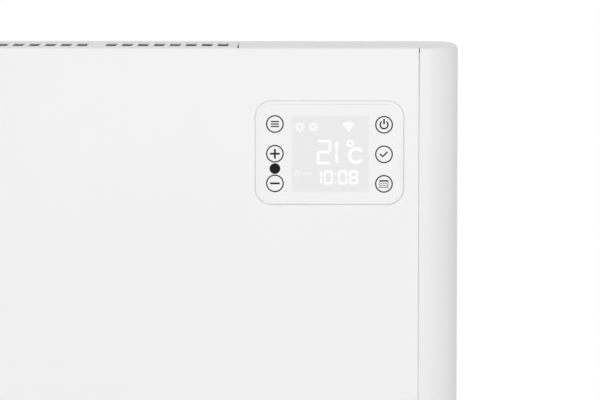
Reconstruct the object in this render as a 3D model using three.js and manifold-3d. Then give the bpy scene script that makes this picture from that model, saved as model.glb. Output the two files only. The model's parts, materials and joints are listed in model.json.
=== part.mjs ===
// Wall panel convector heater: a slim steel casing with moulded ends, a slotted air outlet along the
// top, a touch control unit set into the front, an X-section aluminium element, and a wall bracket.
// Millimetres. +X is to the right of someone facing the heater, +Y goes into the wall, +Z is up.
// The origin is on the wall, at the middle of the bracket's upper rail.
import * as THREE from "three";
import { mergeVertices } from "three/addons/utils/BufferGeometryUtils.js";
import Module from "manifold-3d";

// ---------------------------------------------------------------------------------------------
// Driving dimensions
// ---------------------------------------------------------------------------------------------

// Casing
const WIDTH = 640;
const HEIGHT = 430;
const CASE_DEPTH = 80;
const WALL_GAP = 22; // air space between the rear panel and the wall
const TOP_ABOVE_ORIGIN = 95;
const SHEET = 1; // folded steel
const MOULD = 2.5; // wall of the plastic mouldings
const EDGE = 2.5; // outer radius of the bends and moulded edges
const SEAM = 0.6; // open joint between the steel panels and the mouldings
const FIT = 0.3; // clearance where one piece seats on another
const NOSE_WIDTH = 28.5; // front strip of each end moulding, which curves back to the side
const NOSE_DEPTH = 22;
const TAIL_WIDTH = 12; // rear corner of each end moulding
const TAIL_DEPTH = 36;
const HOUSING_WIDTH = 161.6; // right-hand moulding, which holds the electronics
const CAP_WIDTH = 60.4; // left-hand moulding
const PANEL_LIP = 4.5; // how far the front panel folds back over the top and the underside
const PANEL_FLANGE = 10;
const WRAP = 14; // how far the grilles fold round onto the back
const REAR_RETURN = 10; // flat strip of each moulding beside the rear panel
const BEAD_WIDTH = 12; // beads pressed into the rear panel
const BEAD_HEIGHT = 2;
const BEAD_MARGIN = 40; // end of a bead to the housing's inner wall
const BOSS_RADIUS = 4.5; // bosses that take the rear panel's screws
const BOSS_DEPTH = 22;
const BOSS_BORE = 1.5;
const BOSS_RIB = 2;
const BOSS_INSET = 16;
const WIRE_HOLE = 8; // radius of the hole between the housing and the element bay
const GROMMET_WALL = 1.4;
const GROMMET_LIP = 1.6;

// Air slots
const SLOT_LENGTH = 36;
const SLOT_WIDTH = 8;
const SLOT_RADIUS = 1.6;
const SLOT_PITCH = 11.8;
const SLOTS_IN_GROUP = 8;
const GROUP_GAP = 9.7; // extra web between two groups of slots
const SLOT_SETBACK = 16; // front face to the slots

// Control unit
const CONTROL_SHIFT = 0.55; // middle of the flat face before the housing to the middle of the unit
const CONTROL_DROP = 77.2; // top of the casing down to the middle of the unit
const BEZEL_WIDTH = 108.8;
const BEZEL_HEIGHT = 76.2;
const BEZEL_RADIUS = 12;
const BEZEL_PROUD = 1.6;
const BEZEL_RIM = 2.5;
const BEZEL_BEVEL = 1.3;
const BEZEL_FLANGE = 2;
const BEZEL_OVERLAP = 4; // flange hidden behind the front panel, on each side
const OVERLAY = 1.2;
const DISPLAY = 55; // side of the square display
const DISPLAY_SHIFT = 0.7; // the display's middle lies this far to the right of the unit's
const DISPLAY_RIM = 0.7; // glass outside the part that shows, on each side
const DISPLAY_WINDOW_RIM = 1;
const BACKLIGHT_RIM = 2;
const BACKLIGHT_FOOT = 1.6;
const KEY_SPREAD = 39.9; // middle of the unit to each column of keys
const KEY_PITCH = 21.7;
const KEY_DROP = 1; // the middle row of keys lies this far below the unit's middle
const SPRING_RADIUS = 3.2;
const SPRING_TAPER = 0.9;
const SPRING_WIRE = 0.6;
const SPRING_ROOM = 1; // between a spring and the edge of its hole in the bezel
const BOARD = 1.6; // thickness of the circuit boards
const BOARD_SETBACK = 8.6; // front face of the casing to the control board
const BOARD_MARGIN = 4.2; // edge of the bezel to the edge of the control board
const PILLAR_RADIUS = 2.6;
const PILLAR_INSET = 4;
const PILLAR_SCREW = 1.4;
const TRAY_DEPTH = 22;
const TRAY_WALL = 1.5;
const TRAY_EXIT_ROOM = 1; // round the lead, where it leaves the tray
const RADIO = [18, 15, 2.6];
const RADIO_BOARD = 0.9;
const RADIO_MARGIN = 1.2; // edge of the radio's board to its shielding can
const RADIO_AERIAL = 4.5; // bare end of the board, which holds the aerial

// Heating element and what carries it
const ELEMENT_ABOVE_BOTTOM = 95;
const ELEMENT_END_ROOM = 36; // clear length at each end of the element bay
const CORE_RADIUS = 7.5;
const ROD_RADIUS = 4.2;
const FIN_REACH = 30;
const FIN_THICKNESS = 2;
const FIN_ANGLE = 40; // degrees from the vertical
const FIN_PITCH = 24;
const FIN_SLIT = 2.5;
const SLIT_ROOT = 3; // fin left whole between the core and the slits
const ROD_OVERHANG = 12; // rod past the middle of each carrier
const CARRIER_SHEET = 1.2;
const CARRIER_HEIGHT = 74;
const CARRIER_FRONT_HEIGHT = 44;
const CARRIER_FOOT = 12;
const CARRIER_GAP = 5; // end of the fins to the middle of the carrier plate
const BUSH_RADIUS = 10;
const BUSH_NECK = 7;
const BUSH_FLANGE = 2.4;
const TERMINAL_STEP = 0.4;
const TERMINAL_BEAD = 4;
const TERMINAL_TAPER = 1;
const PIN_RADIUS = 1.8;
const PIN_LENGTH = 9;
const SHIELD_SETBACK = 12; // front face to the heat shield
const SHIELD_HEIGHT = 170;
const SHIELD_FOLD = 8;
const SHIELD_SHORT = 1; // end of the shield to the tips of the carriers' feet
const PARTITION_SHORT = 2; // edge of the partition shield to the grilles' flanges

// Thermal cut-out in the warm air above the element
const CUTOUT_RADIUS = 8;
const CUTOUT_FACE = 6; // radius of the sensing face, which shows through the clip
const CUTOUT_DEPTH = 9;
const CUTOUT_RISE = 52;
const CUTOUT_DROP = 3; // the disc lies this far below the clip's screw hole
const CLIP_SHEET = 1.2;
const CLIP_REACH = 24;
const CLIP_WIDTH = 22;
const CLIP_RISE = 8;
const CLIP_FOOT = 10;
const CLIP_FALL = 12;
const BLADE = [3.2, 0.8]; // width and thickness of a push-on terminal
const BLADE_LENGTH = 7;
const CUTOUT_BLADE_SPREAD = 4;

// Mains switch
const SWITCH_ABOVE_BOTTOM = 62;
const SWITCH_BEZEL = [15, 22]; // along Y and Z
const SWITCH_BODY = [13, 19.4];
const SWITCH_BODY_DEPTH = 18;
const SWITCH_PROUD = 1.5;
const SWITCH_BLADE_SPREAD = 5;
const PIVOT_DEPTH = 2.2; // pivot behind the face of the side wall
const ROCKER_HALF = 7.2;
const ROCKER_WIDTH = 9.6;
const ROCKER_RISE = 3.8; // pivot to the raised ends of the key
const ROCKER_DIP = 2.4; // pivot to the bottom of the key's V
const ROCKER_KEEL = 3;
const ROCKER_TILT = 11; // degrees either side of level
const STUB_RADIUS = 1.2;

// Lead-in, sensor and power electronics
const GLAND_FROM_SIDE = 52;
const GLAND_FROM_REAR = 22;
const GLAND_BORE = 4.2;
const GLAND_RADIUS = 9;
const GLAND_NECK = 6.5;
const GLAND_HEAD = 3;
const GLAND_DOME = 1.2;
const GLAND_NUT = 5;
const SENSOR_FROM_SIDE = 70;
const SENSOR_RADIUS = 2.4;
const SENSOR_LENGTH = 16;
const SENSOR_RISE = 6;
const SENSOR_SLIT = 2;
const SENSOR_SLIT_LENGTH = 14;
const SENSOR_SLITS = 5;
const SADDLE_HALF = 5;
const SADDLE_ARM = 2;
const SADDLE_RAIL = [1.8, 1.2];
const POWER_BOARD = [56, 120]; // along Y and Z
const POWER_BOARD_DROP = 205;
const POWER_STANDOFF = 7;
const POST_RADIUS = 3; // posts that carry the power board
const POST_INSET = 6;
const POST_SCREW = 1.6;
const RELAY = [16, 13, 29];
const RELAY_LIVE_AT = [-16, 34]; // places on the board, along Y and Z from its middle
const RELAY_NEUTRAL_AT = [2, 34];
const CAPACITOR = [15, 9, 26];
const CAPACITOR_AT = [16, -2];
const TRANSFORMER = [19, 20, 24];
const TRANSFORMER_AT = [-12, -4];
const TRANSFORMER_BASE = 3;
const TERMINAL = [30, 18, 16];
const TERMINAL_POLES = 3;
const TERMINAL_SCREW = 2.2;
const TERMINAL_WELL = 6;
const TERMINAL_MOUTH = [5, 5, 5]; // width, depth and height of a wire mouth
const TERMINAL_MOUTH_SILL = 3;
const TERMINAL_GROOVE = [1.2, 4];
const LEAD_SOCKET = [10, 30, 9];
const LEAD_SOCKET_AT = -46;
const SIGNAL_SOCKET = [8, 14, 6];
const SIGNAL_SOCKET_AT = 54;
const LEAD_RADIUS = 1.4;
const CONTROL_LEAD_RADIUS = 1.8;

// Wall bracket
const BRACKET_SHEET = 2;
const UPRIGHT_SPREAD = 138;
const UPRIGHT_WIDTH = 32;
const UPRIGHT_FLANGE = 9;
const UPRIGHT_TAIL = 16; // upright below its lower hook
const RAIL_HEIGHT = 36;
const RAIL_SPACING = 200;
const RAIL_STEP = 3; // slope where a rail steps over an upright
const RAIL_SLOT = [16, 7]; // for a wall screw up to 6 mm
const RAIL_SLOT_SPACING = 138;
const RAIL_SHORT = 1; // end of a rail to the flange of its upright
const HOOK_SPACING = 230;
const HOOK_ABOVE_ORIGIN = 24;
const HOOK_HEIGHT = 14;
const FINGER_RISE = 9;
const FINGER_DEPTH = 5;
const FINGER_LEAD = 2; // slope on the tip that guides the slot onto the hook
const THROAT_ROOM = 1; // play of the rear panel between a finger and its arm
const HOOK_CLEARANCE = 2.2; // beside and below a hook in its slot
const LIFT = 10; // how far the heater lifts to come off its hooks

// ---------------------------------------------------------------------------------------------
// Planes and lines that several pieces share
// ---------------------------------------------------------------------------------------------

const REAR = -WALL_GAP;
const FRONT = REAR - CASE_DEPTH;
const TOP = TOP_ABOVE_ORIGIN;
const BOTTOM = TOP - HEIGHT;
const SIDE = WIDTH / 2;
const NOSE = SIDE - NOSE_WIDTH; // joint between the front panel and an end moulding
const TAIL = SIDE - TAIL_WIDTH - REAR_RETURN; // joint between the rear panel and an end moulding
const HOUSING = SIDE - HOUSING_WIDTH; // inner end of the right-hand moulding
const CAP = -SIDE + CAP_WIDTH; // inner end of the left-hand moulding
const MID_DEPTH = (FRONT + REAR) / 2;
const BAY_REAR = REAR - SHEET - FIT; // what stands on the rear panel starts here
const PAST = 1; // how far a cutter runs past what it cuts
const ROUND = 14; // sides of a small round piece

// ---------------------------------------------------------------------------------------------
// Solids
// ---------------------------------------------------------------------------------------------

const wasm = await Module();
wasm.setup();

function solidOf(geometry) {
  const loose = geometry.index ? geometry.toNonIndexed() : geometry;
  const bare = new THREE.BufferGeometry().setAttribute("position", loose.getAttribute("position"));
  const merged = mergeVertices(bare, 1e-4);
  return new wasm.Manifold(
    new wasm.Mesh({
      numProp: 3,
      vertProperties: merged.attributes.position.array,
      triVerts: merged.index.array,
    }),
  );
}

function geometryOf(solid) {
  const mesh = solid.getMesh();
  return new THREE.BufferGeometry()
    .setAttribute("position", new THREE.BufferAttribute(mesh.vertProperties, 3))
    .setIndex(new THREE.BufferAttribute(mesh.triVerts, 1));
}

function join(...solids) {
  return solids.reduce((made, next) => made.add(next));
}

function cut(from, ...tools) {
  return tools.reduce((made, tool) => made.subtract(tool), from);
}

function box(x0, x1, y0, y1, z0, z1) {
  const shape = new THREE.BoxGeometry(x1 - x0, y1 - y0, z1 - z0);
  return solidOf(shape.translate((x0 + x1) / 2, (y0 + y1) / 2, (z0 + z1) / 2));
}

// A cylinder along X, Y or Z, from one coordinate on that axis to another.
function round(axis, radius, from, to, [u, v], sides = ROUND) {
  const shape = new THREE.CylinderGeometry(radius, radius, to - from, sides);
  const middle = (from + to) / 2;
  if (axis === "x") return solidOf(shape.rotateZ(Math.PI / 2).translate(middle, u, v));
  if (axis === "y") return solidOf(shape.translate(u, middle, v));
  return solidOf(shape.rotateX(Math.PI / 2).translate(u, v, middle));
}

function roundedRectangle(width, height, radius, x = 0, y = 0) {
  const [w, h] = [width / 2 - radius, height / 2 - radius];
  return new THREE.Shape()
    .absarc(x + w, y + h, radius, 0, Math.PI / 2)
    .absarc(x - w, y + h, radius, Math.PI / 2, Math.PI)
    .absarc(x - w, y - h, radius, Math.PI, 1.5 * Math.PI)
    .absarc(x + w, y - h, radius, 1.5 * Math.PI, 2 * Math.PI);
}

function extruded(shape, depth, bevel, curveSegments) {
  return new THREE.ExtrudeGeometry(shape, {
    depth: depth - 2 * bevel,
    bevelEnabled: bevel > 0,
    bevelThickness: bevel,
    bevelSize: bevel,
    bevelOffset: -bevel,
    bevelSegments: 2,
    curveSegments,
  }).translate(0, 0, bevel);
}

// A shape drawn in plan (X, Y), standing from z0 to z1.
function plan(shape, z0, z1, bevel = 0, curveSegments = 3) {
  return solidOf(extruded(shape, z1 - z0, bevel, curveSegments).translate(0, 0, z0));
}

// A shape drawn as seen from the front (X, Z), reaching from y0 back to y1.
function elevation(shape, y0, y1, bevel = 0, curveSegments = 3) {
  const made = extruded(shape, y1 - y0, bevel, curveSegments);
  return solidOf(made.rotateX(Math.PI / 2).translate(0, y1, 0));
}

// A shape drawn as seen from the side (Y, Z), reaching from x0 to x1.
function section(shape, x0, x1, curveSegments = 6) {
  const turn = new THREE.Matrix4().makeBasis(
    new THREE.Vector3(0, 1, 0),
    new THREE.Vector3(0, 0, 1),
    new THREE.Vector3(1, 0, 0),
  );
  const made = extruded(shape, x1 - x0, 0, curveSegments);
  return solidOf(made.applyMatrix4(turn).translate(x0, 0, 0));
}

function outline(points) {
  return new THREE.Shape(points.map(([u, v]) => new THREE.Vector2(u, v)));
}

// A solid of revolution about Z from [radius, height] pairs that run round the wall of a ring, or up
// the outside of a piece that reaches its own axis.
function turned(points, sides = ROUND) {
  const profile = points.map(([radius, height]) => new THREE.Vector2(radius, height));
  return solidOf(new THREE.LatheGeometry(profile, sides).rotateX(Math.PI / 2));
}

// A round lead that runs smoothly through the points.
function lead(points, radius, steps) {
  const stops = points.map((point) => new THREE.Vector3(...point));
  const path = new THREE.CatmullRomCurve3(stops, false, "centripetal");
  const ring = new THREE.Shape().absarc(0, 0, radius, 0, 2 * Math.PI);
  return new THREE.ExtrudeGeometry(ring, { extrudePath: path, steps, curveSegments: 4, bevelEnabled: false });
}

// ---------------------------------------------------------------------------------------------
// The casing's outer form: straight front and back, elliptical corners, rounded top and bottom edges
// ---------------------------------------------------------------------------------------------

function caseOutline(inset) {
  const nose = [NOSE_WIDTH - inset, NOSE_DEPTH - inset];
  const tail = [TAIL_WIDTH - inset, TAIL_DEPTH - inset];
  const [noseX, noseY] = [SIDE - NOSE_WIDTH, FRONT + NOSE_DEPTH];
  const [tailX, tailY] = [SIDE - TAIL_WIDTH, REAR - TAIL_DEPTH];
  return new THREE.Shape()
    .absellipse(noseX, noseY, ...nose, 1.5 * Math.PI, 2 * Math.PI)
    .absellipse(tailX, tailY, ...tail, 0, Math.PI / 2)
    .absellipse(-tailX, tailY, ...tail, Math.PI / 2, Math.PI)
    .absellipse(-noseX, noseY, ...nose, Math.PI, 1.5 * Math.PI);
}

function caseForm(inset) {
  const bevel = Math.max(EDGE - inset, 0);
  return plan(caseOutline(inset), BOTTOM + inset, TOP - inset, bevel, 4);
}

const caseSolid = caseForm(0);
const sheetHollow = caseForm(SHEET);
const mouldShell = caseSolid.subtract(caseForm(MOULD));

const controlX = (HOUSING + NOSE) / 2 + CONTROL_SHIFT;
const controlZ = TOP - CONTROL_DROP;

// Folded front sheet: it wraps a little way over the top and the underside, has a flange down each
// side that drops beside the mouldings, and an opening for the control unit.
function frontPanel() {
  const edge = NOSE - SEAM;
  const room = box(-edge, edge, FRONT - PAST, FRONT + PANEL_LIP, BOTTOM - PAST, TOP + PAST);
  const skin = caseSolid.intersect(room).subtract(sheetHollow);
  const [low, high] = [BOTTOM + MOULD + SEAM, TOP - MOULD - SEAM];
  const flanges = [-1, 1].map((side) => {
    const [x0, x1] = [side * edge, side * (edge - SHEET)].sort((a, b) => a - b);
    return box(x0, x1, FRONT + SHEET / 2, FRONT + PANEL_FLANGE, low, high);
  });
  const opening = roundedRectangle(
    BEZEL_WIDTH + 2 * FIT,
    BEZEL_HEIGHT + 2 * FIT,
    BEZEL_RADIUS + FIT,
    controlX,
    controlZ,
  );
  return cut(join(skin, ...flanges), elevation(opening, FRONT - PAST, FRONT + SHEET + PAST));
}

function airSlot(x, y) {
  const [w, h, r] = [SLOT_WIDTH / 2, SLOT_LENGTH / 2, SLOT_RADIUS];
  return new THREE.Shape()
    .moveTo(x - w + r, y - h)
    .lineTo(x + w - r, y - h)
    .quadraticCurveTo(x + w, y - h, x + w, y - h + r)
    .lineTo(x + w, y + h - r)
    .quadraticCurveTo(x + w, y + h, x + w - r, y + h)
    .lineTo(x - w + r, y + h)
    .quadraticCurveTo(x - w, y + h, x - w, y + h - r)
    .lineTo(x - w, y - h + r)
    .quadraticCurveTo(x - w, y - h, x - w + r, y - h);
}

// Places of the air slots along the grille, in groups with a wider web between two groups.
function slotCentres(from, to) {
  const groupLength = (SLOTS_IN_GROUP - 1) * SLOT_PITCH + SLOT_WIDTH;
  const period = SLOTS_IN_GROUP * SLOT_PITCH + GROUP_GAP;
  const groups = Math.floor((to - from - groupLength) / period) + 1;
  const used = (groups - 1) * period + groupLength;
  const first = (from + to - used + SLOT_WIDTH) / 2;
  const centres = [];
  for (let group = 0; group < groups; group += 1) {
    for (let slot = 0; slot < SLOTS_IN_GROUP; slot += 1) {
      centres.push(first + group * period + slot * SLOT_PITCH);
    }
  }
  return centres;
}

// One grille is the folded strip that closes the top, and the other closes the underside: a slotted
// face with a flange behind the front panel, one at each end, and one that wraps round onto the back.
function grille(upper) {
  const [x0, x1] = [CAP + SEAM, HOUSING - SEAM];
  const front = FRONT + PANEL_LIP + FIT;
  const [z0, z1] = upper ? [TOP - WRAP, TOP + PAST] : [BOTTOM - PAST, BOTTOM + WRAP];
  const block = caseSolid.intersect(box(x0, x1, front, REAR + PAST, z0, z1));
  const [h0, h1] = upper ? [z0 - PAST, z1] : [z0, z1 + PAST];
  const hollow = sheetHollow.intersect(box(x0 + SHEET, x1 - SHEET, front + SHEET, REAR, h0, h1));
  const slotMiddle = FRONT + SLOT_SETBACK + SLOT_LENGTH / 2;
  const [c0, c1] = upper ? [TOP - SHEET - PAST, z1] : [z0, BOTTOM + SHEET + PAST];
  const slots = slotCentres(x0, x1).map((x) => plan(airSlot(x, slotMiddle), c0, c1, 0, 1));
  return cut(block, hollow, ...slots);
}

const hookX = UPRIGHT_SPREAD + UPRIGHT_WIDTH / 2 - BRACKET_SHEET / 2;
const hookSeats = [HOOK_ABOVE_ORIGIN, HOOK_ABOVE_ORIGIN - HOOK_SPACING];

// Folded back sheet: a shallow pan with three pressed beads, and four slots that drop onto the
// bracket's hooks. Each slot is tall enough for the heater to lift clear of its hook.
function rearPanel() {
  const edge = TAIL - FIT;
  const [low, high] = [BOTTOM + WRAP + FIT, TOP - WRAP - FIT];
  const inner = REAR - PANEL_FLANGE;
  let panel = cut(
    box(-edge, edge, inner, REAR, low, high),
    box(-edge + SHEET, edge - SHEET, inner - PAST, REAR - SHEET, low + SHEET, high - SHEET),
  );
  const beadEnd = HOUSING - BEAD_MARGIN;
  [0.25, 0.5, 0.75].forEach((share) => {
    const z = low + share * (high - low);
    const [half, slope] = [BEAD_WIDTH / 2, BEAD_HEIGHT];
    const bead = (y) =>
      outline([
        [y, z - half],
        [y + BEAD_HEIGHT, z - half + slope],
        [y + BEAD_HEIGHT, z + half - slope],
        [y, z + half],
      ]);
    panel = panel.add(section(bead(REAR - SHEET / 4), -beadEnd, beadEnd));
    panel = panel.subtract(section(bead(REAR - SHEET - PAST / 4), -beadEnd + SHEET, beadEnd - SHEET));
  });
  const slots = hookSeats.flatMap((seat) =>
    [-hookX, hookX].map((x) =>
      box(
        x - BRACKET_SHEET / 2 - HOOK_CLEARANCE,
        x + BRACKET_SHEET / 2 + HOOK_CLEARANCE,
        REAR - SHEET - PAST,
        REAR + PAST,
        seat - HOOK_HEIGHT - LIFT - HOOK_CLEARANCE,
        seat + FIT,
      ),
    ),
  );
  return cut(panel, ...slots);
}

// What both end mouldings have: outer wall, top, underside, the lip beside the front panel and the
// strip beside the rear panel. side is +1 on the right and -1 on the left.
function endMoulding(side, inner) {
  const [x0, x1] = [side * inner, side * (SIDE + PAST)].sort((a, b) => a - b);
  const shell = mouldShell.intersect(box(x0, x1, FRONT - PAST, REAR + PAST, BOTTOM - PAST, TOP + PAST));
  const [n0, n1] = [side * (inner - PAST), side * NOSE].sort((a, b) => a - b);
  const [t0, t1] = [side * (inner - PAST), side * TAIL].sort((a, b) => a - b);
  const panelRoom = box(n0, n1, FRONT - PAST, FRONT + PANEL_LIP + FIT, BOTTOM - PAST, TOP + PAST);
  const rearRoom = box(t0, t1, REAR - MOULD - PAST, REAR + PAST, BOTTOM + WRAP, TOP - WRAP);
  const [l0, l1] = [side * NOSE, side * (NOSE + MOULD)].sort((a, b) => a - b);
  const lip = caseSolid.intersect(
    box(l0, l1, FRONT + EDGE, FRONT + PANEL_FLANGE + MOULD, BOTTOM + EDGE, TOP - EDGE),
  );
  return join(cut(shell, panelRoom, rearRoom), lip);
}

// Screw bosses for the rear panel, each joined by a rib to the wall beside it.
function withBosses(moulding, places) {
  const [front, back] = [BAY_REAR - BOSS_DEPTH, BAY_REAR];
  const flangeRoom = REAR - PANEL_FLANGE - FIT;
  const rib = BOSS_RIB / 2;
  const solids = places.map(({ x, z, wall }) =>
    join(
      round("y", BOSS_RADIUS, front, back, [x, z], 12),
      box(Math.min(x, wall), Math.max(x, wall), front, flangeRoom, z - rib, z + rib),
    ),
  );
  const bores = places.map(({ x, z }) => round("y", BOSS_BORE, back - BOSS_DEPTH / 2, back + PAST, [x, z], 8));
  return cut(join(moulding, ...solids), ...bores);
}

const bossHeights = [TOP - WRAP - BOSS_INSET, BOTTOM + WRAP + BOSS_INSET];
const switchZ = BOTTOM + SWITCH_ABOVE_BOTTOM;
const switchY = (FRONT + NOSE_DEPTH + REAR - TAIL_DEPTH) / 2;
const glandAt = [SIDE - GLAND_FROM_SIDE, REAR - GLAND_FROM_REAR];
const elementZ = BOTTOM + ELEMENT_ABOVE_BOTTOM;
const powerX = HOUSING + MOULD + POWER_STANDOFF;
const powerZ = TOP - POWER_BOARD_DROP;
const sensorAt = [SIDE - SENSOR_FROM_SIDE, FRONT + PANEL_FLANGE + MOULD + SENSOR_SLIT_LENGTH];

// Right-hand moulding: a box round the electronics, open to the front and the back, with a wall
// towards the element bay, posts for the power board, and holes for the lead, switch and sensor.
function rightHousing() {
  const front = FRONT + PANEL_LIP + FIT;
  const innerWall = box(HOUSING, HOUSING + MOULD, front, BAY_REAR, BOTTOM + MOULD / 2, TOP - MOULD / 2);
  const bossX = TAIL - BOSS_INSET;
  const places = bossHeights.flatMap((z) => [
    { x: bossX, z, wall: SIDE - MOULD },
    { x: HOUSING + BOSS_INSET, z, wall: HOUSING + MOULD / 2 },
  ]);
  const moulding = withBosses(join(endMoulding(1, HOUSING), innerWall), places);
  const posts = [-1, 1].flatMap((a) =>
    [-1, 1].map((b) => {
      const y = MID_DEPTH + a * (POWER_BOARD[0] / 2 - POST_INSET);
      const z = powerZ + b * (POWER_BOARD[1] / 2 - POST_INSET);
      return round("x", POST_RADIUS, HOUSING + MOULD / 2, powerX - FIT, [y, z], 12);
    }),
  );
  const slits = Array.from({ length: SENSOR_SLITS }, (_, i) => {
    const x = sensorAt[0] + (i - (SENSOR_SLITS - 1) / 2) * 2 * SENSOR_SLIT;
    const [y0, y1] = [sensorAt[1] - SENSOR_SLIT_LENGTH / 2, sensorAt[1] + SENSOR_SLIT_LENGTH / 2];
    return box(x - SENSOR_SLIT / 2, x + SENSOR_SLIT / 2, y0, y1, BOTTOM - PAST, BOTTOM + MOULD + PAST);
  });
  const [switchHalfY, switchHalfZ] = SWITCH_BODY.map((size) => size / 2 + FIT);
  const flangeNotches = [BOTTOM + WRAP, TOP - WRAP - SHEET - 2 * FIT].map((z) =>
    box(
      HOUSING - PAST,
      HOUSING + MOULD + PAST,
      REAR - PANEL_FLANGE - FIT,
      REAR,
      z,
      z + SHEET + 2 * FIT,
    ),
  );
  return cut(
    join(moulding, ...posts),
    ...flangeNotches,
    round("z", GLAND_NECK + FIT, BOTTOM - PAST, BOTTOM + MOULD + PAST, glandAt),
    box(
      SIDE - MOULD - PAST,
      SIDE + PAST,
      switchY - switchHalfY,
      switchY + switchHalfY,
      switchZ - switchHalfZ,
      switchZ + switchHalfZ,
    ),
    round("x", WIRE_HOLE, HOUSING - PAST, HOUSING + MOULD + PAST, [MID_DEPTH, elementZ]),
    ...slits,
  );
}

function leftCap() {
  const bossX = -(TAIL - BOSS_INSET);
  const places = bossHeights.map((z) => ({ x: bossX, z, wall: -(SIDE - MOULD) }));
  return withBosses(endMoulding(-1, -CAP), places);
}

// ---------------------------------------------------------------------------------------------
// Control unit, about its own middle: y = 0 is the casing's front face
// ---------------------------------------------------------------------------------------------

const flangeFront = SHEET + FIT;
const flangeBack = flangeFront + BEZEL_FLANGE;
const overlayBack = -BEZEL_PROUD + OVERLAY;
const boardWidth = BEZEL_WIDTH - 2 * BOARD_MARGIN;
const boardHeight = BEZEL_HEIGHT - 2 * BOARD_MARGIN;
const KEYS = [
  ["mode", -1, 1],
  ["plus", -1, 0],
  ["minus", -1, -1],
  ["power", 1, 1],
  ["select", 1, 0],
  ["program", 1, -1],
];

function keyAt(column, row) {
  return [column * KEY_SPREAD, row * KEY_PITCH - KEY_DROP];
}

function pillarPlaces() {
  const [x, z] = [boardWidth / 2 - PILLAR_INSET, boardHeight / 2 - PILLAR_INSET];
  return [
    [x, z],
    [-x, z],
    [-x, -z],
    [x, -z],
  ];
}

// Raised frame with a bevelled edge: a pocket for the overlay, a window for the display, a hole
// behind each key, a flange behind the front panel, and pillars for the control board.
function controlBezel() {
  const face = elevation(
    roundedRectangle(BEZEL_WIDTH, BEZEL_HEIGHT, BEZEL_RADIUS),
    -BEZEL_PROUD,
    flangeBack,
    BEZEL_BEVEL,
  );
  const flange = elevation(
    roundedRectangle(
      BEZEL_WIDTH + 2 * BEZEL_OVERLAP,
      BEZEL_HEIGHT + 2 * BEZEL_OVERLAP,
      BEZEL_RADIUS + BEZEL_OVERLAP,
    ),
    flangeFront,
    flangeBack,
  );
  const pocket = elevation(
    roundedRectangle(BEZEL_WIDTH - 2 * BEZEL_RIM, BEZEL_HEIGHT - 2 * BEZEL_RIM, BEZEL_RADIUS - BEZEL_RIM),
    -BEZEL_PROUD - PAST,
    overlayBack + FIT,
  );
  const windowSide = DISPLAY + 2 * DISPLAY_WINDOW_RIM;
  const windowHole = elevation(
    roundedRectangle(windowSide, windowSide, DISPLAY_WINDOW_RIM, DISPLAY_SHIFT, -KEY_DROP),
    -BEZEL_PROUD - PAST,
    flangeBack + PAST,
    0,
    2,
  );
  const keyHoles = KEYS.map(([, column, row]) =>
    round("y", SPRING_RADIUS + SPRING_ROOM, -BEZEL_PROUD, flangeBack + PAST, keyAt(column, row), 12),
  );
  const pillars = pillarPlaces().map((at) =>
    round("y", PILLAR_RADIUS, flangeBack - BEZEL_FLANGE / 2, BOARD_SETBACK - FIT, at, 12),
  );
  return join(cut(join(face, flange), pocket, windowHole, ...keyHoles), ...pillars);
}

function touchOverlay() {
  const margin = 2 * (BEZEL_RIM + FIT);
  const shape = roundedRectangle(
    BEZEL_WIDTH - margin,
    BEZEL_HEIGHT - margin,
    BEZEL_RADIUS - BEZEL_RIM - FIT,
  );
  return elevation(shape, -BEZEL_PROUD, overlayBack);
}

function lcdPanel() {
  const side = DISPLAY + 2 * DISPLAY_RIM;
  const shape = roundedRectangle(side, side, DISPLAY_RIM, DISPLAY_SHIFT, -KEY_DROP);
  return elevation(shape, overlayBack + FIT, flangeBack, 0, 1);
}

// Light box behind the display, with a foot along the top and bottom that takes its clips.
function lcdBacklight() {
  const half = DISPLAY / 2 + BACKLIGHT_RIM;
  const clip = half + BACKLIGHT_FOOT;
  const [front, back] = [flangeBack + FIT, BOARD_SETBACK - FIT];
  const [x, z] = [DISPLAY_SHIFT, -KEY_DROP];
  return join(
    box(x - half, x + half, front, back, z - half, z + half),
    box(x - half / 2, x + half / 2, back - BACKLIGHT_FOOT, back, z - clip, z + clip),
  );
}

function controlBoard() {
  const board = elevation(
    roundedRectangle(boardWidth, boardHeight, BEZEL_RADIUS - BOARD_MARGIN),
    BOARD_SETBACK,
    BOARD_SETBACK + BOARD,
    0,
    2,
  );
  const holes = pillarPlaces().map((at) =>
    round("y", PILLAR_SCREW, BOARD_SETBACK - PAST, BOARD_SETBACK + BOARD + PAST, at, 8),
  );
  return cut(board, ...holes);
}

// Conical contact spring between the overlay and the control board, as the sleeve that it fills.
function touchSpring() {
  const length = BOARD_SETBACK - overlayBack - 2 * FIT;
  const narrow = SPRING_RADIUS - SPRING_TAPER;
  return turned(
    [
      [narrow - SPRING_WIRE, 0],
      [narrow, 0],
      [SPRING_RADIUS, length],
      [SPRING_RADIUS - SPRING_WIRE, length],
      [narrow - SPRING_WIRE, 0],
    ],
    12,
  ).rotate([90, 0, 0]);
}

const trayWidth = boardWidth + 2 * (TRAY_WALL + FIT);
const trayHeight = boardHeight + 2 * (TRAY_WALL + FIT);

// Cover behind the control board: an open tray whose rim meets the bezel's flange.
function controlTray() {
  const radius = BEZEL_RADIUS - BOARD_MARGIN + FIT;
  const shell = elevation(
    roundedRectangle(trayWidth, trayHeight, radius + TRAY_WALL),
    flangeBack + FIT,
    TRAY_DEPTH,
    0,
    2,
  );
  const hollow = elevation(
    roundedRectangle(boardWidth + 2 * FIT, boardHeight + 2 * FIT, radius),
    0,
    TRAY_DEPTH - TRAY_WALL,
    0,
    2,
  );
  const half = CONTROL_LEAD_RADIUS + TRAY_EXIT_ROOM;
  const exit = box(
    -half,
    half,
    BOARD_SETBACK + BOARD,
    TRAY_DEPTH - TRAY_WALL - TRAY_EXIT_ROOM,
    -trayHeight / 2 - PAST,
    -trayHeight / 2 + TRAY_WALL + PAST,
  );
  return cut(shell, hollow, exit);
}

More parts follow.
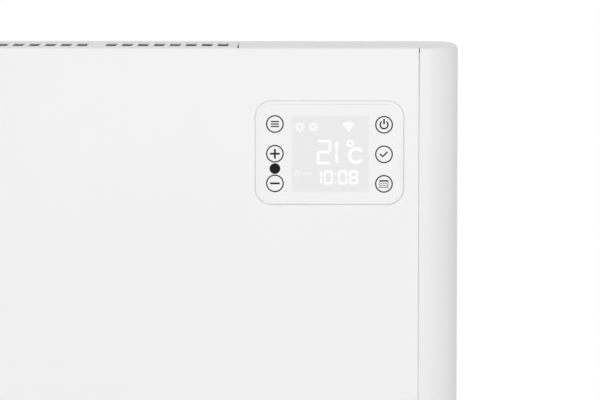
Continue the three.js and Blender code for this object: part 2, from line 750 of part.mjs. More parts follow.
// Radio module soldered to the back of the control board: a small board under a shielding can.
function radioModule() {
  const [w, h, t] = RADIO;
  const back = BOARD_SETBACK + BOARD + FIT;
  const canHalf = w / 2 - RADIO_MARGIN;
  return join(
    box(-w / 2, w / 2, back, back + RADIO_BOARD, -h / 2, h / 2),
    box(-canHalf, canHalf, back + RADIO_BOARD / 2, back + t, -h / 2 + RADIO_MARGIN, h / 2 - RADIO_AERIAL),
  );
}

// ---------------------------------------------------------------------------------------------
// Heating element, about the middle of its own axis, which lies along X
// ---------------------------------------------------------------------------------------------

const bayFrom = CAP;
const bayTo = HOUSING;
const elementX = (bayFrom + bayTo) / 2;
const elementHalf = (bayTo - bayFrom) / 2 - ELEMENT_END_ROOM;
const carrierAt = elementHalf + CARRIER_GAP;
const rodHalf = carrierAt + ROD_OVERHANG;
const elementY = MID_DEPTH;

// Aluminium extrusion with four fins in an X round a bored core. Slits cut the fins into short
// blades, so that they don't bow as they heat.
function elementExtrusion() {
  const fins = [FIN_ANGLE, -FIN_ANGLE].map((angle) => {
    const blade = new THREE.BoxGeometry(2 * elementHalf, FIN_THICKNESS, 2 * FIN_REACH);
    return solidOf(blade.rotateX(THREE.MathUtils.degToRad(angle)));
  });
  const tips = [FIN_ANGLE, 180 - FIN_ANGLE, 180 + FIN_ANGLE, -FIN_ANGLE].map((angle) => {
    const bead = new THREE.CylinderGeometry(FIN_THICKNESS, FIN_THICKNESS, 2 * elementHalf, 6);
    bead.rotateZ(Math.PI / 2).translate(0, 0, FIN_REACH);
    return solidOf(bead.rotateX(THREE.MathUtils.degToRad(angle)));
  });
  const core = round("x", CORE_RADIUS, -elementHalf, elementHalf, [0, 0]);
  const bore = round("x", ROD_RADIUS + FIT, -elementHalf - PAST, elementHalf + PAST, [0, 0]);
  const reach = FIN_REACH + 3 * FIN_THICKNESS;
  const count = Math.floor((2 * elementHalf - FIN_PITCH) / FIN_PITCH);
  const first = (-(count - 1) * FIN_PITCH) / 2;
  const slits = Array.from({ length: count }, (_, i) => {
    const x = first + i * FIN_PITCH;
    const across = box(x - FIN_SLIT / 2, x + FIN_SLIT / 2, -reach, reach, -reach, reach);
    return across.subtract(round("x", CORE_RADIUS + SLIT_ROOT, x - FIN_SLIT, x + FIN_SLIT, [0, 0], 12));
  });
  return cut(join(core, ...fins, ...tips), bore, ...slits);
}

function elementRod() {
  return round("x", ROD_RADIUS, -rodHalf, rodHalf, [0, 0]);
}

// Ceramic sleeve with a flange on each side of the carrier plate. It turns about Z here.
function carrierBush() {
  const [bore, half] = [ROD_RADIUS + FIT, CARRIER_SHEET / 2 + FIT];
  const end = half + BUSH_FLANGE;
  return turned([
    [bore, -end],
    [BUSH_RADIUS, -end],
    [BUSH_RADIUS, -half],
    [BUSH_NECK, -half],
    [BUSH_NECK, half],
    [BUSH_RADIUS, half],
    [BUSH_RADIUS, end],
    [bore, end],
    [bore, -end],
  ]).rotate([0, 90, 0]);
}

const carrierFront = FRONT + SHIELD_SETBACK + SHEET + FIT - elementY; // the shield lies on this face
const carrierBack = BAY_REAR - elementY;

// Folded plate that carries one end of the element: a foot on the rear panel, a web with the hole
// for the bush, and a front foot for the heat shield. Its feet point outwards.
function elementCarrier(side) {
  const [half, frontHalf] = [CARRIER_HEIGHT / 2, CARRIER_FRONT_HEIGHT / 2];
  const slopeBack = carrierFront + half - frontHalf;
  const x = side * carrierAt;
  const web = section(
    outline([
      [carrierFront, -frontHalf],
      [slopeBack, -half],
      [carrierBack, -half],
      [carrierBack, half],
      [slopeBack, half],
      [carrierFront, frontHalf],
    ]),
    x - CARRIER_SHEET / 2,
    x + CARRIER_SHEET / 2,
  );
  const [f0, f1] = [x - (side * CARRIER_SHEET) / 2, x + side * CARRIER_FOOT].sort((a, b) => a - b);
  return cut(
    join(
      web,
      box(f0, f1, carrierBack - CARRIER_SHEET, carrierBack, -half, half),
      box(f0, f1, carrierFront, carrierFront + CARRIER_SHEET, -frontHalf, frontHalf),
    ),
    round("x", BUSH_NECK + FIT, x - PAST, x + PAST, [0, 0]),
  );
}

// Ceramic bead and threaded pin on the end of the rod.
function elementTerminal() {
  return turned(
    [
      [0, 0],
      [ROD_RADIUS - TERMINAL_STEP, 0],
      [ROD_RADIUS - TERMINAL_STEP, TERMINAL_BEAD - TERMINAL_TAPER],
      [PIN_RADIUS, TERMINAL_BEAD],
      [PIN_RADIUS, TERMINAL_BEAD + PIN_LENGTH],
      [0, TERMINAL_BEAD + PIN_LENGTH],
    ],
    12,
  ).rotate([0, 90, 0]);
}

// Bright steel sheet between the element and the front panel, folded back along its top edge.
function heatShield() {
  const half = carrierAt + CARRIER_FOOT - SHIELD_SHORT;
  const y = FRONT + SHIELD_SETBACK - elementY;
  const [low, high] = [-CARRIER_HEIGHT / 2, SHIELD_HEIGHT - CARRIER_HEIGHT / 2];
  const profile = outline([
    [y, low],
    [y + SHEET, low],
    [y + SHEET, high - SHEET],
    [y + SHIELD_FOLD, high + SHIELD_FOLD / 2],
    [y + SHIELD_FOLD - SHEET, high + SHIELD_FOLD / 2 + SHEET],
    [y, high],
  ]);
  return section(profile, -half, half);
}

// Sheet that keeps the heat of the bay off the electronics. It lies on the housing's inner wall.
function partitionShield() {
  const [x0, x1] = [HOUSING - FIT - SHEET, HOUSING - FIT];
  const margin = WRAP + PARTITION_SHORT;
  const plate = box(x0, x1, FRONT + PANEL_FLANGE + SHEET, BAY_REAR, BOTTOM + margin, TOP - margin);
  return plate.subtract(round("x", WIRE_HOLE, x0 - PAST, x1 + PAST, [MID_DEPTH, elementZ]));
}

// Rubber ring in the hole through the partition shield and the housing's inner wall, about its own
// axis: z = 0 is the shield's face towards the element.
function partitionGrommet() {
  const neck = WIRE_HOLE - FIT;
  const bore = neck - GROMMET_WALL;
  const grip = SHEET + FIT + MOULD + FIT;
  return turned([
    [bore, -FIT - GROMMET_LIP],
    [WIRE_HOLE + GROMMET_LIP, -FIT - GROMMET_LIP / 2],
    [WIRE_HOLE + GROMMET_LIP, -FIT],
    [neck, -FIT],
    [neck, grip],
    [WIRE_HOLE + GROMMET_LIP, grip],
    [WIRE_HOLE + GROMMET_LIP, grip + GROMMET_LIP / 2],
    [bore, grip + GROMMET_LIP],
    [bore, -FIT - GROMMET_LIP],
  ]).rotate([0, 90, 0]);
}

// Bracket that holds the thermal cut-out in the warm air above the element.
function cutoutClip() {
  const half = CLIP_WIDTH / 2;
  const lipBack = -CLIP_REACH + CLIP_SHEET;
  return cut(
    join(
      box(-half, half, -CLIP_SHEET, 0, -CLIP_FOOT, CLIP_RISE),
      box(-half, half, -CLIP_REACH, 0, CLIP_RISE - CLIP_SHEET, CLIP_RISE),
      box(-half, half, -CLIP_REACH, lipBack, -CLIP_FALL, CLIP_RISE),
    ),
    round("y", CUTOUT_FACE, -CLIP_REACH - PAST, lipBack + PAST, [0, -CUTOUT_DROP]),
  );
}

// Disc thermostat: a round body that looks through the clip, a rim in front of it, and two blades.
function thermalCutout() {
  const face = -CLIP_REACH - FIT;
  const back = face - CUTOUT_DEPTH;
  const [width, thickness] = BLADE;
  const z = -CUTOUT_DROP;
  const blades = [-1, 1].map((side) => {
    const x = side * CUTOUT_BLADE_SPREAD;
    const [z0, z1] = [z - thickness / 2, z + thickness / 2];
    return box(x - width / 2, x + width / 2, back - BLADE_LENGTH, back + PAST, z0, z1);
  });
  return join(
    round("y", CUTOUT_RADIUS, back, face, [0, z]),
    round("y", CUTOUT_FACE - FIT, face - PAST, face + 2 * CLIP_SHEET, [0, z]),
    ...blades,
  );
}

// ---------------------------------------------------------------------------------------------
// Mains switch, about its pivot: +X points out of the side of the casing
// ---------------------------------------------------------------------------------------------

function switchBody() {
  const [bezelY, bezelZ] = SWITCH_BEZEL.map((size) => size / 2);
  const [bodyY, bodyZ] = SWITCH_BODY.map((size) => size / 2);
  const wallFace = PIVOT_DEPTH + FIT;
  const outer = PIVOT_DEPTH + SWITCH_PROUD + FIT;
  const inner = PIVOT_DEPTH - SWITCH_BODY_DEPTH;
  const pocketZ = Math.hypot(ROCKER_HALF, ROCKER_RISE) + FIT;
  const pocketY = ROCKER_WIDTH / 2 + FIT;
  const blades = [-1, 0, 1].map((place) => {
    const z = place * SWITCH_BLADE_SPREAD;
    const [width, thickness] = BLADE;
    const [halfT, halfW] = [thickness / 2, width / 2];
    return box(inner - BLADE_LENGTH, inner + PAST, -halfT, halfT, z - halfW, z + halfW);
  });
  return cut(
    join(
      box(wallFace, outer, -bezelY, bezelY, -bezelZ, bezelZ),
      box(inner, wallFace + PAST, -bodyY, bodyY, -bodyZ, bodyZ),
      ...blades,
    ),
    box(-ROCKER_HALF, outer + PAST, -pocketY, pocketY, -pocketZ, pocketZ),
    round("y", STUB_RADIUS + FIT, -bodyY - PAST, bodyY + PAST, [0, 0], 12),
  );
}

// The key: a shallow V outside, a keel inside, and a stub pin on each side.
function switchRocker() {
  const half = ROCKER_WIDTH / 2;
  const profile = outline([
    [ROCKER_RISE, -ROCKER_HALF],
    [ROCKER_DIP, 0],
    [ROCKER_RISE, ROCKER_HALF],
    [0, ROCKER_HALF],
    [-ROCKER_KEEL, ROCKER_KEEL],
    [-ROCKER_KEEL, -ROCKER_KEEL],
    [0, -ROCKER_HALF],
  ]);
  const pin = SWITCH_BODY[0] / 2 - FIT;
  return join(elevation(profile, -half, half), round("y", STUB_RADIUS, -pin, pin, [0, 0], 12));
}

// ---------------------------------------------------------------------------------------------
// Lead-in, sensor and power electronics
// ---------------------------------------------------------------------------------------------

// Cable gland in the underside: a domed head outside, a neck through the wall and a nut inside.
// z = 0 is the outer face of the wall.
function cableGland() {
  return turned(
    [
      [GLAND_BORE, -GLAND_HEAD],
      [GLAND_RADIUS - GLAND_DOME, -GLAND_HEAD],
      [GLAND_RADIUS, -GLAND_HEAD + GLAND_DOME],
      [GLAND_RADIUS, -FIT],
      [GLAND_NECK, -FIT],
      [GLAND_NECK, MOULD + FIT],
      [GLAND_RADIUS, MOULD + FIT],
      [GLAND_RADIUS, MOULD + GLAND_NUT],
      [GLAND_BORE, MOULD + GLAND_NUT],
      [GLAND_BORE, -GLAND_HEAD],
    ],
  );
}

// Two-armed saddle on the floor of the housing that holds the room sensor over the slits.
function sensorSaddle() {
  const reach = SENSOR_LENGTH / 2 - SADDLE_ARM / 2;
  const arms = [-1, 1].map((side) => {
    const [y0, y1] = [side * reach, side * (reach - SADDLE_ARM)].sort((a, b) => a - b);
    return box(-SADDLE_HALF, SADDLE_HALF, y0, y1, 0, SENSOR_RISE + SENSOR_RADIUS);
  });
  const [railWidth, railHeight] = SADDLE_RAIL;
  const rails = [-1, 1].map((side) => {
    const x = side * SADDLE_HALF;
    return box(x - railWidth / 2, x + railWidth / 2, -reach, reach, 0, railHeight);
  });
  return cut(
    join(...arms, ...rails),
    round("y", SENSOR_RADIUS + FIT, -reach - PAST, reach + PAST, [0, SENSOR_RISE], 12),
  );
}

function roomSensor() {
  const half = SENSOR_LENGTH / 2;
  return turned(
    [
      [0, -half],
      [SENSOR_RADIUS / 2, -half + SENSOR_RADIUS / 4],
      [SENSOR_RADIUS, -half + SENSOR_RADIUS],
      [SENSOR_RADIUS, half],
      [0, half],
    ],
    12,
  ).rotate([90, 0, 0]);
}

function powerBoard() {
  const [y, z] = POWER_BOARD.map((size) => size / 2);
  const holes = [-1, 1].flatMap((a) =>
    [-1, 1].map((b) => {
      const at = [a * (y - POST_INSET), b * (z - POST_INSET)];
      return round("x", POST_SCREW, -PAST, BOARD + PAST, at, 8);
    }),
  );
  return cut(box(0, BOARD, -y, y, -z, z), ...holes);
}

// A block on the power board, from the board's face outwards: size is along X, Y and Z.
function boardBlock([height, width, length]) {
  return box(0, height, -width / 2, width / 2, -length / 2, length / 2);
}

// Two stacked E-cores round a wound bobbin.
function transformer() {
  const [height, width, length] = TRANSFORMER;
  const base = TRANSFORMER_BASE;
  const winding = length / 2 - base - PAST;
  return join(
    boardBlock([height, width - 2 * base, length]),
    box(base, height - base, -width / 2, width / 2, -winding, winding),
    boardBlock([base, width, length]),
  );
}

// Three-pole block with a screw well and a wire mouth in each pole.
function terminalBlock() {
  const [length, width, height] = TERMINAL;
  const [mouth, depth, rise] = TERMINAL_MOUTH;
  const [sill, lintel] = [TERMINAL_MOUTH_SILL, TERMINAL_MOUTH_SILL + rise];
  const [groove, grooveDepth] = TERMINAL_GROOVE;
  const reach = width / 2 + PAST;
  const wells = Array.from({ length: TERMINAL_POLES }, (_, i) => {
    const x = (i - (TERMINAL_POLES - 1) / 2) * (length / TERMINAL_POLES);
    return [
      round("z", TERMINAL_SCREW, height - TERMINAL_WELL, height + PAST, [x, 0], 10),
      box(x - mouth / 2, x + mouth / 2, -reach, -width / 2 + depth, sill, lintel),
      box(x - mouth / 2, x + mouth / 2, width / 2 - depth, reach, sill, lintel),
    ];
  }).flat();
  const grooves = Array.from({ length: TERMINAL_POLES - 1 }, (_, i) => {
    const x = (i + 1 - TERMINAL_POLES / 2) * (length / TERMINAL_POLES);
    return box(x - groove / 2, x + groove / 2, -reach, reach, height - grooveDepth, height + PAST);
  });
  return cut(box(-length / 2, length / 2, -width / 2, width / 2, 0, height), ...wells, ...grooves);
}

// ---------------------------------------------------------------------------------------------
// Wall bracket
// ---------------------------------------------------------------------------------------------

const uprightHigh = HOOK_ABOVE_ORIGIN + FINGER_RISE;
const uprightLow = HOOK_ABOVE_ORIGIN - HOOK_SPACING - HOOK_HEIGHT - UPRIGHT_TAIL;

// Pressed channel against the wall. Two arms stand forward from its outer flange, pass through the
// rear panel's slots and end in upturned fingers. side is +1 on the right and -1 on the left.
function bracketUpright(side) {
  const half = UPRIGHT_WIDTH / 2;
  const channel = cut(
    box(-half, half, -UPRIGHT_FLANGE, 0, uprightLow, uprightHigh),
    box(
      -half + BRACKET_SHEET,
      half - BRACKET_SHEET,
      -UPRIGHT_FLANGE - PAST,
      -BRACKET_SHEET,
      uprightLow - PAST,
      uprightHigh + PAST,
    ),
  );
  const [x0, x1] = [side * half, side * (half - BRACKET_SHEET)].sort((a, b) => a - b);
  const throat = REAR - SHEET - THROAT_ROOM;
  const tip = throat - FINGER_DEPTH;
  const lead = FINGER_RISE - FINGER_LEAD;
  const arms = hookSeats.map((seat) =>
    section(
      outline([
        [0, seat - HOOK_HEIGHT],
        [throat, seat - HOOK_HEIGHT],
        [tip, seat - HOOK_HEIGHT + FINGER_DEPTH],
        [tip, seat + lead],
        [tip + FINGER_LEAD, seat + FINGER_RISE],
        [throat, seat + lead],
        [throat, seat],
        [REAR + THROAT_ROOM, seat],
        [-UPRIGHT_FLANGE, seat + FINGER_RISE / 2],
        [0, seat + FINGER_RISE / 2],
      ]),
      x0,
      x1,
    ),
  );
  const notches = [0, -RAIL_SPACING].map((z) =>
    box(
      -side * half - BRACKET_SHEET - FIT,
      -side * half + BRACKET_SHEET + FIT,
      -UPRIGHT_FLANGE - PAST,
      -BRACKET_SHEET,
      z - RAIL_HEIGHT / 2 - FIT,
      z + RAIL_HEIGHT / 2 + FIT,
    ),
  );
  return join(cut(channel, ...notches), ...arms);
}

// Cross rail: a strip against the wall whose ends step forward over the uprights. Its long edges are
// folded forward, and it has two slotted screw holes.
function bracketRail() {
  const end = UPRIGHT_SPREAD + UPRIGHT_WIDTH / 2 - BRACKET_SHEET - RAIL_SHORT;
  const step = RAIL_STEP;
  const bend = UPRIGHT_SPREAD - UPRIGHT_WIDTH / 2 - FIT;
  const half = RAIL_HEIGHT / 2;
  const lap = -BRACKET_SHEET - FIT;
  const strip = outline([
    [-bend, 0],
    [bend, 0],
    [bend + FIT, lap],
    [end, lap],
    [end, lap - BRACKET_SHEET],
    [bend - step, lap - BRACKET_SHEET],
    [bend - step, -BRACKET_SHEET],
    [-bend + step, -BRACKET_SHEET],
    [-bend + step, lap - BRACKET_SHEET],
    [-end, lap - BRACKET_SHEET],
    [-end, lap],
    [-bend - FIT, lap],
  ]);
  const foldEnd = bend - 2 * step;
  const folds = [-half, half - BRACKET_SHEET].map((z) =>
    box(-foldEnd, foldEnd, -UPRIGHT_FLANGE + BRACKET_SHEET, 0, z, z + BRACKET_SHEET),
  );
  const [slotLength, slotHeight] = RAIL_SLOT;
  const holes = [-1, 1].map((side) => {
    const x = (side * RAIL_SLOT_SPACING) / 2;
    const shape = roundedRectangle(slotLength, slotHeight, slotHeight / 2 - FIT / 2, x, 0);
    return elevation(shape, -BRACKET_SHEET - PAST, PAST, 0, 2);
  });
  return cut(join(plan(strip, -half, half), ...folds), ...holes);
}

// ---------------------------------------------------------------------------------------------
// Materials
// ---------------------------------------------------------------------------------------------

function finish(color, roughness, metalness) {
  return new THREE.MeshStandardMaterial({ color, roughness, metalness });
}

const whiteSteel = finish(0xf2f2f2, 0.45, 0.1);
const whitePlastic = finish(0xefefef, 0.4, 0);
const glossPlastic = finish(0xf6f6f6, 0.15, 0);
const displayGlass = finish(0xe6e8e8, 0.1, 0);
const galvanised = finish(0xb9bcbe, 0.4, 0.8);
const aluminium = finish(0xc9cbcd, 0.35, 0.9);
const darkPlastic = finish(0x1c1c1e, 0.45, 0);
const boardGreen = finish(0x1f5a3a, 0.5, 0);
const ceramic = finish(0xe9e4d8, 0.6, 0);
const steel = finish(0x9a9c9f, 0.35, 0.9);
const copperFerrite = finish(0x7a4a2c, 0.5, 0.3);
const leadRed = finish(0x9c3b2e, 0.6, 0);
const leadGreen = finish(0x5f8f3a, 0.6, 0);
const leadGrey = finish(0xb4b6b8, 0.6, 0);

// ---------------------------------------------------------------------------------------------
// Assembly
// ---------------------------------------------------------------------------------------------

function part(name, geometry, material, position = [0, 0, 0]) {
  const shape = geometry instanceof THREE.BufferGeometry ? geometry : geometryOf(geometry);
  const mesh = new THREE.Mesh(shape, material);
  mesh.name = name;
  mesh.position.set(...position);
  return mesh;
}

function groupAt(position, ...children) {
  const group = new THREE.Group();
  group.position.set(...position);
  group.add(...children);
  return group;
}

const casing = groupAt(
  [0, 0, 0],
  part("front_panel", frontPanel(), whiteSteel),
  part("rear_panel", rearPanel(), whiteSteel),
  part("top_grille", grille(true), whiteSteel),
  part("bottom_grille", grille(false), whiteSteel),
  part("right_end_housing", rightHousing(), whitePlastic),
  part("left_end_cap", leftCap(), whitePlastic),
  part("partition_shield", partitionShield(), galvanised),
  part("partition_grommet", partitionGrommet(), darkPlastic, [HOUSING - FIT - SHEET, MID_DEPTH, elementZ]),
);

const springs = KEYS.map(([key, column, row]) => {
  const [x, z] = keyAt(column, row);
  return part(`touch_spring_${key}`, touchSpring(), steel, [x, BOARD_SETBACK - FIT, z]);
});

const controls = groupAt(
  [controlX, FRONT, controlZ],
  part("control_bezel", controlBezel(), glossPlastic),
  part("touch_overlay", touchOverlay(), glossPlastic),
  part("lcd_panel", lcdPanel(), displayGlass),
  part("lcd_backlight", lcdBacklight(), whitePlastic),
  part("control_board", controlBoard(), boardGreen),
  part("control_tray", controlTray(), whitePlastic),
  part("radio_module", radioModule(), steel, [boardWidth / 4, 0, boardHeight / 4]),
  ...springs,
);

const element = groupAt(
  [elementX, elementY, elementZ],
  part("element_extrusion", elementExtrusion(), aluminium),
  part("element_rod", elementRod(), steel),
  part("element_carrier_left", elementCarrier(-1), galvanised),
  part("element_carrier_right", elementCarrier(1), galvanised),
  part("carrier_bush_left", carrierBush(), ceramic, [-carrierAt, 0, 0]),
  part("carrier_bush_right", carrierBush(), ceramic, [carrierAt, 0, 0]),
  part("element_terminal_left", elementTerminal().rotate([0, 0, 180]), ceramic, [-rodHalf - FIT, 0, 0]),
  part("element_terminal_right", elementTerminal(), ceramic, [rodHalf + FIT, 0, 0]),
  part("heat_shield", heatShield(), galvanised),
);

const cutoutX = elementX + elementHalf / 2;
const safety = groupAt(
  [cutoutX, BAY_REAR, elementZ + CUTOUT_RISE],
  part("cutout_clip", cutoutClip(), galvanised),
  part("thermal_cutout", thermalCutout(), darkPlastic),
);

const rocker = part("mains_switch_rocker", switchRocker(), darkPlastic);
rocker.rotation.y = THREE.MathUtils.degToRad(-ROCKER_TILT);
const mainsSwitch = groupAt(
  [SIDE - PIVOT_DEPTH, switchY, switchZ],
  part("mains_switch_body", switchBody(), darkPlastic),
  rocker,
);

const boardFace = powerX + BOARD + FIT;
const power = groupAt(
  [0, MID_DEPTH, powerZ],
  part("power_board", powerBoard(), boardGreen, [powerX, 0, 0]),
  part("relay_live", boardBlock(RELAY), darkPlastic, [boardFace, ...RELAY_LIVE_AT]),
  part("relay_neutral", boardBlock(RELAY), darkPlastic, [boardFace, ...RELAY_NEUTRAL_AT]),
  part("supply_transformer", transformer(), copperFerrite, [boardFace, ...TRANSFORMER_AT]),
  part("filter_capacitor", boardBlock(CAPACITOR), darkPlastic, [boardFace, ...CAPACITOR_AT]),
  part("lead_socket", boardBlock(LEAD_SOCKET), whitePlastic, [boardFace, 0, LEAD_SOCKET_AT]),
  part("signal_socket", boardBlock(SIGNAL_SOCKET), whitePlastic, [boardFace, 0, SIGNAL_SOCKET_AT]),
);

const terminalX = SIDE - 2 * GLAND_FROM_SIDE;
const terminalY = REAR - GLAND_FROM_REAR;
const floorZ = BOTTOM + MOULD + FIT;
const entry = groupAt(
  [0, 0, 0],
  part("cable_gland", cableGland(), darkPlastic, [...glandAt, BOTTOM]),
  part("terminal_block", terminalBlock(), whitePlastic, [terminalX, terminalY, floorZ]),
  part("sensor_saddle", sensorSaddle(), whitePlastic, [...sensorAt, floorZ]),
  part("room_sensor", roomSensor(), darkPlastic, [...sensorAt, floorZ + SENSOR_RISE]),
);

const bracket = groupAt(
  [0, 0, 0],
  part("bracket_upright_left", bracketUpright(-1), galvanised, [-UPRIGHT_SPREAD, 0, 0]),
  part("bracket_upright_right", bracketUpright(1), galvanised, [UPRIGHT_SPREAD, 0, 0]),
  part("bracket_rail_upper", bracketRail(), galvanised),
  part("bracket_rail_lower", bracketRail(), galvanised, [0, 0, -RAIL_SPACING]),
);

// ---------------------------------------------------------------------------------------------
// Internal wiring: each lead runs from one terminal to the next
// ---------------------------------------------------------------------------------------------

const socketX = boardFace + LEAD_SOCKET[0] / 2;
const socketZ = powerZ + LEAD_SOCKET_AT - LEAD_SOCKET[2] / 2 - FIT;
const signalZ = powerZ + SIGNAL_SOCKET_AT + SIGNAL_SOCKET[2] / 2 + FIT;
const poleTop = floorZ + TERMINAL[2] + FIT;
const pole = TERMINAL[0] / TERMINAL_POLES;
const pinTip = rodHalf + FIT + TERMINAL_BEAD + PIN_LENGTH + FIT;
const bladeX = SIDE - SWITCH_BODY_DEPTH - BLADE_LENGTH - FIT;
const bladeY = BAY_REAR - CLIP_REACH - FIT - CUTOUT_DEPTH - BLADE_LENGTH - FIT;
const bladeZ = elementZ + CUTOUT_RISE - CUTOUT_DROP;
const boardBack = FRONT + BOARD_SETBACK + BOARD + FIT;

// From the terminal block up to the mains switch.
const liveInRoute = [
  [terminalX + pole, terminalY, poleTop],
  [terminalX + pole, terminalY, poleTop + 12],
  [(terminalX + bladeX) / 2, (terminalY + switchY) / 2, switchZ + 14],
  [bladeX - 12, switchY, switchZ + SWITCH_BLADE_SPREAD],
  [bladeX, switchY, switchZ + SWITCH_BLADE_SPREAD],
];

// From the mains switch to the power board.
const liveSwitchedRoute = [
  [bladeX, switchY, switchZ - SWITCH_BLADE_SPREAD],
  [bladeX - 14, switchY, switchZ - SWITCH_BLADE_SPREAD],
  [(socketX + bladeX) / 2, switchY - 6, (socketZ + switchZ) / 2 - 10],
  [socketX, MID_DEPTH - 10, socketZ - 26],
  [socketX, MID_DEPTH - 10, socketZ],
];

// From the power board through the grommet to the right-hand end of the element.
const elementRightRoute = [
  [socketX, MID_DEPTH, socketZ],
  [socketX, MID_DEPTH, elementZ + 24],
  [HOUSING + MOULD + 8, MID_DEPTH, elementZ + 2],
  [HOUSING - 2, MID_DEPTH, elementZ],
  [elementX + pinTip, elementY, elementZ],
];

// From the power board through the grommet and up to the thermal cut-out.
const cutoutRoute = [
  [socketX, MID_DEPTH + 8, socketZ],
  [socketX, MID_DEPTH + 8, elementZ + 28],
  [HOUSING + MOULD + 7, MID_DEPTH + 3.4, elementZ + 2],
  [HOUSING - 3, MID_DEPTH + 3.4, elementZ + 1],
  [HOUSING - 12, MID_DEPTH + 8, elementZ + 20],
  [elementX + carrierAt, MID_DEPTH + 6, elementZ + CUTOUT_RISE],
  [cutoutX + 30, bladeY - 4, bladeZ + 6],
  [cutoutX + CUTOUT_BLADE_SPREAD, bladeY - 8, bladeZ],
  [cutoutX + CUTOUT_BLADE_SPREAD, bladeY, bladeZ],
];

// From the thermal cut-out to the left-hand end of the element.
const elementLeftRoute = [
  [cutoutX - CUTOUT_BLADE_SPREAD, bladeY, bladeZ],
  [cutoutX - CUTOUT_BLADE_SPREAD, bladeY - 8, bladeZ],
  [cutoutX - 40, MID_DEPTH + 8, bladeZ + 8],
  [elementX, MID_DEPTH + 20, bladeZ + 10],
  [elementX - carrierAt, MID_DEPTH + 8, bladeZ + 4],
  [elementX - pinTip - 12, MID_DEPTH, elementZ + 26],
  [elementX - pinTip - 12, MID_DEPTH, elementZ + 4],
  [elementX - pinTip - 5, elementY, elementZ],
  [elementX - pinTip, elementY, elementZ],
];

// From the terminal block to the rear panel.
const earthRoute = [
  [terminalX, terminalY, poleTop],
  [terminalX, terminalY, poleTop + 16],
  [terminalX, BAY_REAR - 10, poleTop + 26],
  [terminalX, BAY_REAR - FIT, poleTop + 26],
];

// From the control board, out under its cover, to the power board.
const controlRoute = [
  [controlX, boardBack, controlZ - 20],
  [controlX, boardBack + 3, controlZ - 20],
  [controlX, boardBack + 5, controlZ - 24],
  [controlX, boardBack + 5, controlZ - 34],
  [controlX, boardBack + 5, controlZ - 46],
  [(controlX + socketX) / 2, (boardBack + MID_DEPTH) / 2, signalZ + 18],
  [socketX, MID_DEPTH, signalZ + 10],
  [socketX, MID_DEPTH, signalZ],
];

const wiring = groupAt(
  [0, 0, 0],
  part("lead_live_in", lead(liveInRoute, LEAD_RADIUS, 15), leadRed),
  part("lead_live_switched", lead(liveSwitchedRoute, LEAD_RADIUS, 18), leadRed),
  part("lead_element_right", lead(elementRightRoute, LEAD_RADIUS, 16), leadGrey),
  part("lead_cutout", lead(cutoutRoute, LEAD_RADIUS, 24), leadGrey),
  part("lead_element_left", lead(elementLeftRoute, LEAD_RADIUS, 26), leadGrey),
  part("earth_lead", lead(earthRoute, LEAD_RADIUS, 10), leadGreen),
  part("control_lead", lead(controlRoute, CONTROL_LEAD_RADIUS, 18), leadGrey),
);

const heater = groupAt([0, 0, 0], casing, controls, element, safety, mainsSwitch, power, entry, wiring);

export default groupAt([0, 0, 0], bracket, heater);
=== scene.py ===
# Looks of a slim wall-hung convector heater with a touch control unit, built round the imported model.
# Metres, +Z up. The front faces -Y, the wall is at y = 0, and the control unit is at the right end.
import json
import math

import bmesh
import bpy
from mathutils import Matrix, Vector


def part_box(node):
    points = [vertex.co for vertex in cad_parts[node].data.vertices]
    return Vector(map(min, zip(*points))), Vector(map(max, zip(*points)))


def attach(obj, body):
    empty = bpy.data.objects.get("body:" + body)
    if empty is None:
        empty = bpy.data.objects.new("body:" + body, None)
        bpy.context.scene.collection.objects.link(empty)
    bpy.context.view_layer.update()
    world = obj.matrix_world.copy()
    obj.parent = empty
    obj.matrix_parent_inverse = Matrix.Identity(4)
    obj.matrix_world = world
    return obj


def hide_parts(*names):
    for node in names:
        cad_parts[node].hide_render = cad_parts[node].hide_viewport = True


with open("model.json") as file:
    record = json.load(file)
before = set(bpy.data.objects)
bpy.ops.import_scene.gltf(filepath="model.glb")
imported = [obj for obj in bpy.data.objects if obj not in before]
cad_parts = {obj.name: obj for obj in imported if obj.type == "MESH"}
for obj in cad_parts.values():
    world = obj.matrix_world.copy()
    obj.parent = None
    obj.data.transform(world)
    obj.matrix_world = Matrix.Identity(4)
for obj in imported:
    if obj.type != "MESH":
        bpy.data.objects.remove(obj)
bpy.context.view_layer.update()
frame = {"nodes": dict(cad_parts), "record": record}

# ---------------------------------------------------------------------------------------------
# Camera
# A long lens in front of the control unit's middle and a little above the top of the casing,
# looking slightly down. The casing runs off the left and the bottom of the picture.
# ---------------------------------------------------------------------------------------------
MM = 0.001
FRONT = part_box("front_panel")[0].y
CAMERA_X = 226.9 * MM
CAMERA_HEIGHT = 248 * MM
CAMERA_DISTANCE = 2500 * MM
LOOK_DOWN = math.radians(5.04)
LOOK_LEFT = math.radians(0.53)
LENS = 205.8
LENS_SHIFT = (0.0004, -0.1008)

camera_data = bpy.data.cameras.new("camera")
camera_data.sensor_width = 36
camera_data.lens = LENS
camera_data.shift_x, camera_data.shift_y = LENS_SHIFT
camera_data.clip_end = 30
camera = bpy.data.objects.new("camera", camera_data)
camera.location = (CAMERA_X, FRONT - CAMERA_DISTANCE, CAMERA_HEIGHT)
camera.rotation_euler = (math.pi / 2 - LOOK_DOWN, 0, LOOK_LEFT)
bpy.context.scene.collection.objects.link(camera)
bpy.context.scene.camera = camera

